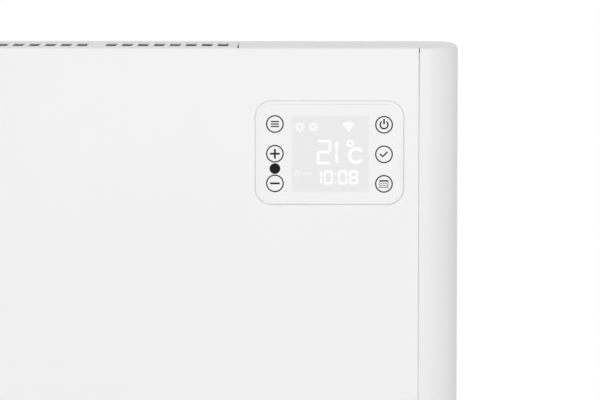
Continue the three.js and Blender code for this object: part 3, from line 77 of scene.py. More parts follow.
# ---------------------------------------------------------------------------------------------
# Studio
# A white backdrop that only the camera and shiny surfaces see at full strength, large soft lamps above
# on the left, in front on the right and behind on the left, and a pale floor that fades away.
# ---------------------------------------------------------------------------------------------
AMBIENT = 0.56
KEY_AT = (-1.1, -3.4, 1.38)
KEY_SIZE = 2.2
KEY_WATTS = 32
FILL_AT = (1.1, -3.3, 0.45)
FILL_SIZE = 1.3
FILL_WATTS = 26
REAR_AT = (-2.2, 2.7, 0.4)
REAR_SIZE = 1.8
REAR_WATTS = 26
FLOOR_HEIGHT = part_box("right_end_housing")[0].z - 150 * MM
FLOOR_RADIUS = 1.5
FLOOR_FADE = (0.4, 0.97)
FLOOR_GREY = 0.86

scene = bpy.context.scene
scene.view_settings.view_transform = "Standard"


def add_node(tree, kind, *feeds, operation=None):
    """A new shader node's first output. A feed that is a socket is linked, any other is set."""
    made = tree.nodes.new("ShaderNode" + kind)
    if operation:
        made.operation = operation
    for place, feed in enumerate(feeds):
        if isinstance(feed, bpy.types.NodeSocket):
            tree.links.new(feed, made.inputs[place])
        else:
            made.inputs[place].default_value = feed
    return made.outputs[0]


world = bpy.data.worlds.new("studio")
scene.world = world
world.use_nodes = True
sky = world.node_tree
sky.nodes.clear()
rays = sky.nodes.new("ShaderNodeLightPath").outputs
either = add_node(sky, "Math", rays["Is Camera Ray"], rays["Is Glossy Ray"], operation="MAXIMUM")
any_of = add_node(sky, "Math", either, rays["Is Transmission Ray"], operation="MAXIMUM")
ambient = add_node(sky, "Background", (1, 1, 1, 1), AMBIENT)
white = add_node(sky, "Background", (1, 1, 1, 1))
seen = add_node(sky, "MixShader", any_of, ambient, white)
sky.links.new(seen, sky.nodes.new("ShaderNodeOutputWorld").inputs["Surface"])

for lamp_name, lamp_at, lamp_size, watts in (("key", KEY_AT, KEY_SIZE, KEY_WATTS),
                                             ("fill", FILL_AT, FILL_SIZE, FILL_WATTS),
                                             ("rear", REAR_AT, REAR_SIZE, REAR_WATTS)):
    lamp_data = bpy.data.lights.new(lamp_name, "AREA")
    lamp_data.energy = watts
    lamp_data.size = lamp_size
    lamp = bpy.data.objects.new(lamp_name, lamp_data)
    lamp.location = lamp_at
    lamp.rotation_euler = (-Vector(lamp_at)).to_track_quat("-Z", "Y").to_euler()
    scene.collection.objects.link(lamp)

bpy.ops.object.select_all(action="DESELECT")
bpy.ops.mesh.primitive_circle_add(
    vertices=96, radius=FLOOR_RADIUS, fill_type="NGON", location=(0, 0, FLOOR_HEIGHT))
floor = bpy.context.object
floor.name = "floor"
floor_paint = bpy.data.materials.new("floor_paint")
floor_paint.use_nodes = True
paint = floor_paint.node_tree
matt = paint.nodes["Principled BSDF"]
matt.inputs["Base Color"].default_value = (*[FLOOR_GREY] * 3, 1)
matt.inputs["Roughness"].default_value = 0.9
place = paint.nodes.new("ShaderNodeTexCoord")
distance = paint.nodes.new("ShaderNodeVectorMath")
distance.operation = "LENGTH"
paint.links.new(place.outputs["Object"], distance.inputs[0])
fade = paint.nodes.new("ShaderNodeMapRange")
fade.interpolation_type = "SMOOTHSTEP"
fade.inputs["From Min"].default_value = FLOOR_RADIUS * FLOOR_FADE[0]
fade.inputs["From Max"].default_value = FLOOR_RADIUS * FLOOR_FADE[1]
paint.links.new(distance.outputs["Value"], fade.inputs["Value"])
clear = add_node(paint, "BsdfTransparent")
edge_mix = add_node(paint, "MixShader", fade.outputs["Result"], matt.outputs[0], clear)
underside = paint.nodes.new("ShaderNodeNewGeometry").outputs["Backfacing"]
from_below = add_node(paint, "MixShader", underside, edge_mix, clear)
paint.links.new(from_below, paint.nodes["Material Output"].inputs["Surface"])
floor.data.materials.append(floor_paint)

# ---------------------------------------------------------------------------------------------
# Front panel
# One sheet of 1 mm steel. It is folded back over the top and the underside with a 2.5 mm bend and
# down both sides with a sharp one, cut out for the control unit, notched in its top fold where the
# grille ends, and powder coated.
# ---------------------------------------------------------------------------------------------
SHEET = 1 * MM
BEND = 2.5 * MM
PANEL_LIP = 4.5 * MM
PANEL_SIDE_FOLD = 0.7 * MM
FLANGE_CLEARANCE = 3.1 * MM
CONTROL_FLANGE = 4 * MM
CONTROL_CORNER = 12 * MM
CONTROL_JOINT = 0.18 * MM
TOP_JOINT = 0.12 * MM
FIT = 0.3 * MM
CUT_PAST = 2 * MM
NOTCH_WIDTH = 1 * MM
NOTCH_DROP = 0.7 * MM
NOTCH_SHIFT = 0.35 * MM


def only(*pieces):
    """Leaves edit mode and selects these objects alone, the first one as the active object."""
    if bpy.context.mode != "OBJECT":
        bpy.ops.object.mode_set(mode="OBJECT")
    bpy.ops.object.select_all(action="DESELECT")
    for piece in pieces:
        piece.select_set(True)
    if pieces:
        bpy.context.view_layer.objects.active = pieces[0]


def settle():
    """Applies the selected object's place, turn and scale to its mesh."""
    bpy.ops.object.transform_apply(location=True, rotation=True, scale=True)


def block(name, low, high):
    """A cube primitive that fills the space between two corners, left open in edit mode."""
    low, high = Vector(low), Vector(high)
    only()
    bpy.ops.mesh.primitive_cube_add(size=1, location=(low + high) / 2)
    made = bpy.context.object
    made.name = made.data.name = name
    made.scale = high - low
    settle()
    bpy.ops.object.mode_set(mode="EDIT")
    return made


def near(a, b):
    return abs(a - b) < 0.01 * MM


def pick(kind, wanted):
    """Selects each FACE or EDGE of the open mesh for which wanted(middle, way) is true.

    way is a face's normal, or the direction in which an edge runs.
    """
    bpy.ops.mesh.select_mode(type=kind)
    bpy.ops.mesh.select_all(action="DESELECT")
    form = bmesh.from_edit_mesh(bpy.context.object.data)
    form.normal_update()
    if kind == "FACE":
        parts = [(face, face.calc_center_median(), face.normal) for face in form.faces]
    else:
        ends = [(edge, edge.verts[0].co, edge.verts[1].co) for edge in form.edges]
        parts = [(edge, (a + b) / 2, (b - a).normalized()) for edge, a, b in ends]
    for part, middle, way in parts:
        if wanted(middle, way):
            part.select_set(True)
    form.select_flush_mode()
    bmesh.update_edit_mesh(bpy.context.object.data)


def slice_at(point, way, clear_outer=False):
    """Cuts the open mesh along a plane. clear_outer drops the side that way points to."""
    bpy.ops.mesh.select_all(action="SELECT")
    bpy.ops.mesh.bisect(plane_co=point, plane_no=way, clear_outer=clear_outer)


def bevel(width, steps):
    """Bevels the selected edges of the open mesh, in this many steps."""
    bpy.ops.mesh.bevel(offset=width, segments=steps, affect="EDGES")


def extrude(x, y, z):
    """Extrudes the selected faces or edges of the open mesh this far along each axis."""
    bpy.ops.mesh.extrude_region_move(TRANSFORM_OT_translate={"value": (x, y, z)})


def rounded_block(name, low, high, radius, axis, steps=8):
    """A block with its four edges along one axis rounded, left open in edit mode."""
    made = block(name, low, high)
    pick("EDGE", lambda middle, way: abs(way[axis]) > 0.99)
    bevel(radius, steps)
    return made


def apply(made, kind, **settings):
    """Adds a modifier with these settings and applies it."""
    only(made)
    modifier = made.modifiers.new(kind.lower(), kind)
    for setting, value in settings.items():
        setattr(modifier, setting, value)
    bpy.ops.object.modifier_apply(modifier=modifier.name)


def thicken(made, wall):
    """Gives an open skin its wall, inwards from the outer face."""
    apply(made, "SOLIDIFY", thickness=wall, offset=-1, use_even_offset=True)


def cut_out(made, *cutters):
    """Takes the cutters' shapes out of a piece and deletes them."""
    for cutter in cutters:
        apply(made, "BOOLEAN", operation="DIFFERENCE", solver="EXACT", object=cutter)
        bpy.data.objects.remove(cutter)


def weld(made, *pieces):
    """Makes other shapes one with a piece and deletes them."""
    for piece in pieces:
        apply(made, "BOOLEAN", operation="UNION", solver="EXACT", object=piece)
        bpy.data.objects.remove(piece)


def soften(made, width, angle=40, segments=2):
    """Rounds every sharp edge by a small width and shades the piece smooth between them."""
    limit = math.radians(angle)
    apply(made, "BEVEL", width=width, segments=segments, limit_method="ANGLE", angle_limit=limit)
    bpy.ops.object.shade_smooth_by_angle(angle=math.radians(30))
    apply(made, "WEIGHTED_NORMAL", mode="FACE_AREA", weight=100, keep_sharp=True)


def hang(made, material, slot, body="heater", *nodes):
    """Gives a piece its material, hides the CAD nodes that it stands for and puts it under its body's empty.
    The slot is not used.
    """
    made.data.materials.append(material)
    if nodes:
        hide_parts(*nodes)
    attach(made, body)


def linear(value):
    """A grey or colour value as seen on a screen, 0 to 1, as linear light."""
    return value / 12.92 if value <= 0.04045 else ((value + 0.055) / 1.055) ** 2.4


def rgba(colour):
    return (*[linear(value) for value in colour], 1)


def finish(name, colour, roughness, metallic=0.0):
    """A material for one finish of the heater. The colour is as seen on a screen, 0 to 1."""
    made = bpy.data.materials.new(name)
    made.use_nodes = True
    shader = made.node_tree.nodes["Principled BSDF"]
    shader.inputs["Base Color"].default_value = rgba(colour)
    shader.inputs["Roughness"].default_value = roughness
    shader.inputs["Metallic"].default_value = metallic
    return made


def noise(made, size, detail=2, stretch=(1, 1, 1)):
    """A noise over the piece whose blotches are about size metres across, as a socket."""
    nodes, links = made.node_tree.nodes, made.node_tree.links
    place = nodes.new("ShaderNodeTexCoord")
    mapping = nodes.new("ShaderNodeMapping")
    mapping.inputs["Scale"].default_value = stretch
    texture = nodes.new("ShaderNodeTexNoise")
    texture.inputs["Scale"].default_value = 1 / size
    texture.inputs["Detail"].default_value = detail
    links.new(place.outputs["Object"], mapping.inputs["Vector"])
    links.new(mapping.outputs["Vector"], texture.inputs["Vector"])
    return texture.outputs["Fac"]


def relief(made, pattern, depth):
    """Bumps the surface by a pattern, up to depth metres high."""
    nodes, links = made.node_tree.nodes, made.node_tree.links
    bump = nodes.new("ShaderNodeBump")
    bump.inputs["Strength"].default_value = 1
    bump.inputs["Distance"].default_value = depth
    links.new(pattern, bump.inputs["Height"])
    links.new(bump.outputs["Normal"], nodes["Principled BSDF"].inputs["Normal"])


def vary(made, socket, pattern, low, high):
    """Lets a pattern move one of the shader's numbers between two values."""
    nodes, links = made.node_tree.nodes, made.node_tree.links
    spread = nodes.new("ShaderNodeMapRange")
    spread.inputs["From Min"].default_value = 0.3
    spread.inputs["From Max"].default_value = 0.7
    spread.inputs["To Min"].default_value = low
    spread.inputs["To Max"].default_value = high
    links.new(pattern, spread.inputs["Value"])
    links.new(spread.outputs["Result"], nodes["Principled BSDF"].inputs[socket])


def tint(made, pattern, first, second):
    """Lets a pattern move the colour between two colours, as seen on a screen."""
    nodes, links = made.node_tree.nodes, made.node_tree.links
    ramp = nodes.new("ShaderNodeValToRGB")
    ramp.color_ramp.elements[0].position = 0.35
    ramp.color_ramp.elements[1].position = 0.65
    ramp.color_ramp.elements[0].color = rgba(first)
    ramp.color_ramp.elements[1].color = rgba(second)
    links.new(pattern, ramp.inputs["Fac"])
    links.new(ramp.outputs["Color"], nodes["Principled BSDF"].inputs["Base Color"])


powder_coat = finish("white_powder_coat", (0.945, 0.945, 0.945), 0.42)
relief(powder_coat, noise(powder_coat, 1.4 * MM, 3), 0.006 * MM)
vary(powder_coat, "Roughness", noise(powder_coat, 90 * MM, 4), 0.38, 0.46)
tint(powder_coat, noise(powder_coat, 160 * MM, 3), (0.942, 0.942, 0.943), (0.948, 0.948, 0.948))

panel_low, panel_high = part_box("front_panel")
bezel_low, bezel_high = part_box("control_bezel")
control = (bezel_low + bezel_high) / 2
control_width = bezel_high.x - bezel_low.x - 2 * CONTROL_FLANGE
control_height = bezel_high.z - bezel_low.z - 2 * CONTROL_FLANGE
lip_back = FRONT + PANEL_LIP

panel = block("front_panel_skin", panel_low, (panel_high.x, lip_back, panel_high.z))
pick("FACE", lambda middle, way: way.y > 0.9)
bpy.ops.mesh.delete(type="ONLY_FACE")
pick("EDGE", lambda middle, way: near(middle.y, FRONT) and abs(way.x) > 0.99)
bevel(BEND, 6)
pick("EDGE", lambda middle, way: near(abs(middle.x), panel_high.x) and not near(middle.y, lip_back))
bevel(PANEL_SIDE_FOLD, 3)
flange_top = panel_high.z - FLANGE_CLEARANCE
flange_bottom = panel_low.z + FLANGE_CLEARANCE
slice_at((0, 0, flange_top), (0, 0, 1))
slice_at((0, 0, flange_bottom), (0, 0, 1))
pick("EDGE", lambda middle, way: near(abs(middle.x), panel_high.x) and near(middle.y, lip_back)
     and flange_bottom < middle.z < flange_top)
extrude(0, panel_high.y - lip_back, 0)
thicken(panel, SHEET)
half_width, half_height = control_width / 2 + CONTROL_JOINT, control_height / 2 + CONTROL_JOINT
cut_out(panel, rounded_block(
    "opening_cutter",
    (control.x - half_width, FRONT - CUT_PAST, control.z - half_height),
    (control.x + half_width, FRONT + CUT_PAST, control.z + control_height / 2 + TOP_JOINT),
    CONTROL_CORNER + CONTROL_JOINT, 1, 12))
joint_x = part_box("right_end_housing")[0].x + NOTCH_SHIFT
cut_out(panel, block(
    "notch_cutter",
    (joint_x - NOTCH_WIDTH / 2, FRONT - CUT_PAST, panel_high.z - NOTCH_DROP),
    (joint_x + NOTCH_WIDTH / 2, lip_back + CUT_PAST, panel_high.z + CUT_PAST)))
soften(panel, width=0.18 * MM)
hang(panel, powder_coat, "white_steel", "heater", "front_panel")

# ---------------------------------------------------------------------------------------------
# End mouldings
# Two injection-moulded shells with a 2.5 mm wall and bosses for the rear panel's screws. The right
# one also makes the smooth right part of the top, and has a wall towards the element bay. Its joint
# with the grille opens like a wedge towards the front, over a pocket in that wall.
# ---------------------------------------------------------------------------------------------
MOULD = 2.5 * MM
EDGE = 2.5 * MM
NOSE = (28.5 * MM, 22 * MM)
TAIL = (12 * MM, 36 * MM)
REAR_RETURN = 10 * MM
WRAP = 14 * MM
LIP_DEPTH = 10 * MM
SEAT_REACH = 0.5 * MM
SEAM_SEAT = 0.35 * MM
SEAM_TAPER_FROM = 20 * MM
SEAM_TAPER = 1.2 * MM
WIRE_HOLE = 8 * MM
BOSS = 4.5 * MM
BOSS_BORE = 1.5 * MM
BOSS_DEPTH = 22 * MM
BOSS_RIB = 2 * MM
BOSS_INSET = 16 * MM
SWITCH_HOLE = (13.6 * MM, 20 * MM)
GLAND_HOLE = 6.8 * MM
SENSOR_SLIT = (2 * MM, 14 * MM)
SENSOR_SLITS = 5
SLIT_CORNER = 0.6 * MM
EDGE_REACH = 0.45 * MM
WEDGE = (1.4 * MM, 50 * MM)
WEDGE_POCKET = (3 * MM, 8 * MM)
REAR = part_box("top_grille")[1].y
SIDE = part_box("right_end_housing")[1].x
BOTTOM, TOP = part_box("right_end_housing")[0].z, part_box("right_end_housing")[1].z

moulded_white = finish("moulded_white", (0.926, 0.926, 0.926), 0.36)
relief(moulded_white, noise(moulded_white, 0.5 * MM, 2), 0.004 * MM)
vary(moulded_white, "Roughness", noise(moulded_white, 60 * MM, 3), 0.33, 0.4)
tint(moulded_white, noise(moulded_white, 120 * MM, 2), (0.923, 0.923, 0.924), (0.929, 0.929, 0.929))


def elliptical_corner(side, front, radii, inset, steps):
    """Rounds the vertical edge at one end of the open block into a quarter of an ellipse."""
    wide, deep = radii
    x = side * (SIDE - inset)
    y = FRONT + inset if front else REAR - inset
    pick("EDGE", lambda middle, way: near(middle.x, x) and near(middle.y, y) and abs(way.z) > 0.99)
    radius = min(wide, deep)
    bevel(radius, steps)
    tangent_x, tangent_y = x - side * radius, y + (radius if front else -radius)

    def on_corner(middle, way):
        beyond = (middle.x - tangent_x) * side > -1e-6
        return beyond and ((middle.y - tangent_y) * (-1 if front else 1) > -1e-6) and abs(way.z) > 0.99

    pick("EDGE", on_corner)
    bpy.ops.transform.resize(value=(wide / radius, deep / radius, 1), center_override=(x, y, 0))


def case_end(name, side, inner, inset):
    """A solid end of the casing's outer form, drawn in all round by inset."""
    outer = side * (SIDE - inset)
    low_x, high_x = sorted((inner, outer))
    made = block(name, (low_x, FRONT + inset, BOTTOM + inset), (high_x, REAR - inset, TOP - inset))
    elliptical_corner(side, True, (NOSE[0] - inset, NOSE[1] - inset), inset, 14)
    elliptical_corner(side, False, (TAIL[0] - inset, TAIL[1] - inset), inset, 12)
    if inset < EDGE:
        rims = (BOTTOM + inset, TOP - inset)
        pick("EDGE", lambda middle, way: not near(middle.x, inner)
             and any(near(middle.z, rim) for rim in rims))
        bevel(EDGE - inset, 5)
    return made


def end_moulding(name, side, inner):
    """An end shell from its inner end to the side of the casing, with its lip and rear opening."""
    before = inner - side * CUT_PAST
    joint = side * (SIDE - NOSE[0])
    back_joint = side * (SIDE - TAIL[0] - REAR_RETURN)

    def bar(x0, x1, y0, y1, z0, z1):
        return block("bar", (min(x0, x1), y0, z0), (max(x0, x1), y1, z1))

    made = case_end(name, side, inner, 0)
    cut_out(made, case_end("hollow", side, before, MOULD))
    cut_out(made, bar(before, joint, FRONT - CUT_PAST, FRONT + PANEL_LIP + FIT,
                      BOTTOM - CUT_PAST, TOP + CUT_PAST))
    cut_out(made, bar(before, back_joint, REAR - MOULD - CUT_PAST, REAR + CUT_PAST,
                      BOTTOM + WRAP, TOP - WRAP))
    low, high = BOTTOM + MOULD / 2, TOP - MOULD / 2
    weld(made, bar(joint, joint + side * MOULD, FRONT + SHEET, FRONT + LIP_DEPTH + MOULD, low, high))
    seat_front, seat_top = FRONT + SEAM_SEAT, high - EDGE
    seat = bar(joint - side * SEAT_REACH, joint + side * SHEET, seat_front, FRONT + PANEL_LIP,
               low + EDGE, seat_top)
    slice_at((0, 0, SEAM_TAPER_FROM), (0, 0, 1))
    pick("EDGE", lambda middle, way: near(middle.y, seat_front) and near(middle.z, seat_top))
    bpy.ops.transform.translate(value=(0, SEAM_TAPER, 0))
    weld(made, seat)
    return made


def rod(name, radius, start, end, vertices=32):
    """A cylinder primitive between two points, left in object mode."""
    start, end = Vector(start), Vector(end)
    only()
    turn = (end - start).normalized().to_track_quat("Z", "Y").to_euler()
    bpy.ops.mesh.primitive_cylinder_add(vertices=vertices, radius=radius, depth=(end - start).length,
                                        location=(start + end) / 2, rotation=turn)
    made = bpy.context.object
    made.name = made.data.name = name
    settle()
    return made


BAY_REAR = REAR - SHEET - FIT
boss_heights = (TOP - WRAP - BOSS_INSET, BOTTOM + WRAP + BOSS_INSET)
boss_x = SIDE - TAIL[0] - REAR_RETURN - BOSS_INSET


def add_bosses(made, x, wall):
    """Two screw bosses with a blind bore, each joined to a wall of the moulding by a rib."""
    for z in boss_heights:
        weld(made, rod("boss", BOSS, (x, BAY_REAR - BOSS_DEPTH, z), (x, BAY_REAR, z)))
        low_x, high_x = sorted((x, wall))
        weld(made, block("rib", (low_x, BAY_REAR - BOSS_DEPTH, z - BOSS_RIB / 2),
                         (high_x, BAY_REAR - WRAP + SHEET, z + BOSS_RIB / 2)))
        cut_out(made, rod("bore", BOSS_BORE, (x, BAY_REAR - BOSS_DEPTH / 2, z),
                          (x, BAY_REAR + CUT_PAST, z), 16))


housing_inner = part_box("right_end_housing")[0].x
housing_edge = housing_inner - EDGE_REACH
housing = end_moulding("right_end_shell", 1, housing_edge)
switch_low, switch_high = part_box("mains_switch_body")
switch = (switch_low + switch_high) / 2
gland_low, gland_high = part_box("cable_gland")
gland = (gland_low + gland_high) / 2
sensor = sum(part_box("sensor_saddle"), Vector()) / 2
half_y, half_z = SWITCH_HOLE[0] / 2, SWITCH_HOLE[1] / 2
cut_out(housing, block(
    "switch_cutter",
    (SIDE - MOULD - CUT_PAST, switch.y - half_y, switch.z - half_z),
    (SIDE + CUT_PAST, switch.y + half_y, switch.z + half_z)))
cut_out(housing, rod("gland_cutter", GLAND_HOLE, (gland.x, gland.y, BOTTOM - CUT_PAST),
                     (gland.x, gland.y, BOTTOM + MOULD + CUT_PAST), 48))
weld(housing, block(
    "inner_wall",
    (housing_inner, FRONT + PANEL_LIP + FIT, BOTTOM + MOULD / 2),
    (housing_inner + MOULD, BAY_REAR, TOP - MOULD / 2)))
wedge_end = (housing_edge + WEDGE[0], FRONT + WEDGE[1])
wedge = block("wedge_cutter", (housing_edge - CUT_PAST, FRONT, TOP - WEDGE_POCKET[1]),
              (*wedge_end, TOP + CUT_PAST))
pick("EDGE", lambda middle, way: near(middle.x, wedge_end[0]) and near(middle.y, wedge_end[1]))
bpy.ops.transform.translate(value=(-WEDGE[0], 0, 0))
cut_out(housing, wedge)
cut_out(housing, block(
    "pocket_cutter",
    (housing_edge - CUT_PAST, FRONT, TOP - WEDGE_POCKET[1]),
    (housing_edge + WEDGE_POCKET[0], wedge_end[1], TOP - SHEET)))
grommet = sum(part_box("partition_grommet"), Vector()) / 2
cut_out(housing, rod("wire_cutter", WIRE_HOLE, (housing_inner - CUT_PAST, grommet.y, grommet.z),
                     (housing_inner + MOULD + CUT_PAST, grommet.y, grommet.z), 48))
pan_low, pan_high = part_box("rear_panel")
for z in (pan_low.z, pan_high.z - SHEET):
    cut_out(housing, block(
        "flange_cutter",
        (housing_inner - CUT_PAST, pan_low.y - FIT, z - FIT),
        (housing_inner + MOULD + CUT_PAST, REAR, z + SHEET + FIT)))
add_bosses(housing, boss_x, SIDE - MOULD)
add_bosses(housing, housing_inner + BOSS_INSET, housing_inner + MOULD / 2)
for place in range(SENSOR_SLITS):
    x = sensor.x + (place - (SENSOR_SLITS - 1) / 2) * 2 * SENSOR_SLIT[0]
    low = (x - SENSOR_SLIT[0] / 2, sensor.y - SENSOR_SLIT[1] / 2, BOTTOM - CUT_PAST)
    high = (x + SENSOR_SLIT[0] / 2, sensor.y + SENSOR_SLIT[1] / 2, BOTTOM + MOULD + CUT_PAST)
    cut_out(housing, rounded_block("slit_cutter", low, high, SLIT_CORNER, 2, 3))
soften(housing, width=0.25 * MM)
hang(housing, moulded_white, "white_plastic", "heater", "right_end_housing")

cap = end_moulding("left_end_shell", -1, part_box("left_end_cap")[1].x)
add_bosses(cap, -boss_x, -SIDE + MOULD)
soften(cap, width=0.25 * MM)
hang(cap, moulded_white, "white_plastic", "heater", "left_end_cap")

# ---------------------------------------------------------------------------------------------
# Grilles
# Two folded steel strips close the top and the underside. Each has four groups of eight slots
# punched through it and wraps 14 mm round onto the back.
# ---------------------------------------------------------------------------------------------
SLOT = (8 * MM, 36 * MM)
SLOT_CORNER = 1.6 * MM
SLOT_PITCH = 11.8 * MM
SLOTS_IN_GROUP = 8
GROUPS = 4
GROUP_GAP = 9.7 * MM
SLOT_SETBACK = 16 * MM
STRIP_FOLD = 0.8 * MM


def slot_centres(low, high):
    """Places of the slots along a strip, in groups with a wider web between two groups."""
    period = SLOTS_IN_GROUP * SLOT_PITCH + GROUP_GAP
    used = GROUPS * period - GROUP_GAP - SLOT_PITCH + SLOT[0]
    first = (low + high - used + SLOT[0]) / 2
    return [first + group * period + place * SLOT_PITCH
            for group in range(GROUPS) for place in range(SLOTS_IN_GROUP)]


def slotted_strip(name, node, upper):
    """A folded strip with its slots, from the corners of the node that it stands for."""
    low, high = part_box(node)
    face = high.z if upper else low.z
    made = block(name, low, high)
    pick("FACE", lambda middle, way: abs(way.x) > 0.9 or ((way.z < -0.9) if upper else (way.z > 0.9)))
    bpy.ops.mesh.delete(type="ONLY_FACE")
    pick("EDGE", lambda middle, way: near(middle.z, face) and near(middle.y, high.y))
    bevel(EDGE, 6)
    pick("EDGE", lambda middle, way: near(middle.z, face) and near(middle.y, low.y))
    bevel(STRIP_FOLD, 3)
    thicken(made, SHEET)
    middle_y = FRONT + SLOT_SETBACK + SLOT[1] / 2
    first, *others = slot_centres(low.x, high.x)
    cutter = rounded_block(
        "slot_cutter",
        (first - SLOT[0] / 2, middle_y - SLOT[1] / 2, face - CUT_PAST),
        (first + SLOT[0] / 2, middle_y + SLOT[1] / 2, face + CUT_PAST),
        SLOT_CORNER, 2, 4)
    bpy.ops.object.mode_set(mode="OBJECT")
    copies = []
    for x in others:
        copy = cutter.copy()
        copy.data = cutter.data.copy()
        copy.location.x = x - first
        scene.collection.objects.link(copy)
        copies.append(copy)
    only(cutter, *copies)
    bpy.ops.object.join()
    cut_out(made, cutter)
    soften(made, width=0.18 * MM)
    hang(made, powder_coat, "white_steel", "heater", node)


slotted_strip("top_air_outlet", "top_grille", True)
slotted_strip("bottom_air_inlet", "bottom_grille", False)

# ---------------------------------------------------------------------------------------------
# Rear panel
# A shallow pan of 1 mm steel with flanges folded forward, three pressed beads that stiffen it and
# four slots that drop onto the bracket's hooks. It has the same powder coat as the front.
# ---------------------------------------------------------------------------------------------
PAN_FOLD = 1.6 * MM
BEAD_PLACES = (0.25, 0.5, 0.75)
BEAD_HALF = 6 * MM
BEAD_RISE = pan_high.y - REAR
BEAD_MARGIN = 40 * MM
HOOK_SPACING = 230 * MM
HOOK_TIP = 9 * MM
HOOK_HEIGHT = 14 * MM
HOOK_SHEET = 2 * MM
HOOK_PLAY = 2.2 * MM
HOOK_SLOT_CORNER = 1 * MM
LIFT = 10 * MM

pan = block("rear_pan", pan_low, (pan_high.x, REAR, pan_high.z))
pick("FACE", lambda middle, way: way.y < -0.9)
bpy.ops.mesh.delete(type="ONLY_FACE")
pick("EDGE", lambda middle, way: near(middle.y, REAR))
bevel(PAN_FOLD, 4)
bead_end = housing_inner - BEAD_MARGIN
bead_heights = [pan_low.z + share * (pan_high.z - pan_low.z) for share in BEAD_PLACES]
for z in bead_heights:
    slice_at((0, 0, z - BEAD_HALF), (0, 0, 1))
    slice_at((0, 0, z + BEAD_HALF), (0, 0, 1))
for x in (-bead_end, bead_end):
    slice_at((x, 0, 0), (1, 0, 0))
for z in bead_heights:
    pick("FACE", lambda middle, way: way.y > 0.99 and abs(middle.x) < bead_end
         and abs(middle.z - z) < BEAD_HALF)
    extrude(0, BEAD_RISE, 0)
    narrowing = (1 - BEAD_RISE / bead_end, 1, 1 - BEAD_RISE / BEAD_HALF)
    bpy.ops.transform.resize(value=narrowing, center_override=(0, REAR, z))
thicken(pan, SHEET)
upright_low, upright_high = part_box("bracket_upright_right")
hook_x = upright_high.x - HOOK_SHEET / 2
hook_seats = (upright_high.z - HOOK_TIP, upright_high.z - HOOK_TIP - HOOK_SPACING)
for seat in hook_seats:
    for x in (-hook_x, hook_x):
        half = HOOK_SHEET / 2 + HOOK_PLAY
        low_z = seat - HOOK_HEIGHT - LIFT - HOOK_PLAY
        cut_out(pan, rounded_block("hook_cutter", (x - half, REAR - CUT_PAST, low_z),
                                   (x + half, REAR + CUT_PAST, seat + FIT),
                                   HOOK_SLOT_CORNER, 1, 4))
soften(pan, width=0.3 * MM)
hang(pan, powder_coat, "white_steel", "heater", "rear_panel")

# ---------------------------------------------------------------------------------------------
# Control frame
# The glossy raised frame of the control unit. It has a bevelled edge, a pocket for the touch glass,
# a window for the display, a hole behind each key, and a flange that clips behind the front panel.
# ---------------------------------------------------------------------------------------------
FRAME_PROUD = 1.6 * MM
FRAME_RIM = 2.5 * MM
FRAME_BEVEL = 1.3 * MM
FRAME_FLANGE = 2 * MM
GLASS = 1.2 * MM
DISPLAY = 55 * MM
WINDOW_RIM = 1 * MM
KEY_HOLE = 4.2 * MM
PILLAR = 2.6 * MM
PILLAR_INSET = 4 * MM
KEYS = ("mode", "plus", "minus", "power", "select", "program")
GLOSS = (0.957, 0.957, 0.958)
GLOSS_SPREAD = 0.002

gloss_white = finish("frame_gloss_white", GLOSS, 0.16)
relief(gloss_white, noise(gloss_white, 6 * MM, 1), 0.002 * MM)
vary(gloss_white, "Roughness", noise(gloss_white, 20 * MM, 3), 0.14, 0.19)
darker = [value - GLOSS_SPREAD for value in GLOSS]
lighter = [value + GLOSS_SPREAD for value in GLOSS]
tint(gloss_white, noise(gloss_white, 50 * MM, 2), darker, lighter)

key_places = {key: sum(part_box("touch_spring_" + key), Vector()) / 2 for key in KEYS}
display = sum(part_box("lcd_panel"), Vector()) / 2
flange_front = FRONT + SHEET + FIT
half = Vector((control_width / 2, 0, control_height / 2))
control_frame = rounded_block(
    "control_frame",
    (control.x - half.x, FRONT - FRAME_PROUD, control.z - half.z),
    (control.x + half.x, flange_front, control.z + half.z),
    CONTROL_CORNER, 1, 14)
pick("EDGE", lambda middle, way: near(middle.y, FRONT - FRAME_PROUD))
bevel(FRAME_BEVEL, 5)
pick("FACE", lambda middle, way: way.y < -0.999 and near(middle.y, FRONT - FRAME_PROUD))
bpy.ops.mesh.inset(thickness=FRAME_RIM - FRAME_BEVEL)
extrude(0, GLASS + FIT, 0)
pick("FACE", lambda middle, way: way.y > 0.999 and near(middle.y, flange_front))
extrude(0, 0, 0)
flange_growth = (1 + CONTROL_FLANGE / half.x, 1, 1 + CONTROL_FLANGE / half.z)
bpy.ops.transform.resize(value=flange_growth, center_override=control)
extrude(0, FRAME_FLANGE, 0)
bpy.ops.object.mode_set(mode="OBJECT")
board_low, board_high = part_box("control_board")
for x in (board_low.x + PILLAR_INSET, board_high.x - PILLAR_INSET):
    for z in (board_low.z + PILLAR_INSET, board_high.z - PILLAR_INSET):
        weld(control_frame, rod("pillar", PILLAR, (x, flange_front + FRAME_FLANGE / 2, z),
                                (x, bezel_high.y, z)))
window_half = DISPLAY / 2 + WINDOW_RIM
back = flange_front + FRAME_FLANGE + CUT_PAST
cut_out(control_frame, rounded_block(
    "window_cutter",
    (display.x - window_half, FRONT - FRAME_PROUD - CUT_PAST, display.z - window_half),
    (display.x + window_half, back, display.z + window_half),
    WINDOW_RIM, 1, 3))
for place in key_places.values():
    cut_out(control_frame, rod("key_cutter", KEY_HOLE, (place.x, FRONT - FRAME_PROUD, place.z),
                               (place.x, back, place.z)))
soften(control_frame, width=0.12 * MM)
hang(control_frame, gloss_white, "gloss_white", "heater", "control_bezel")

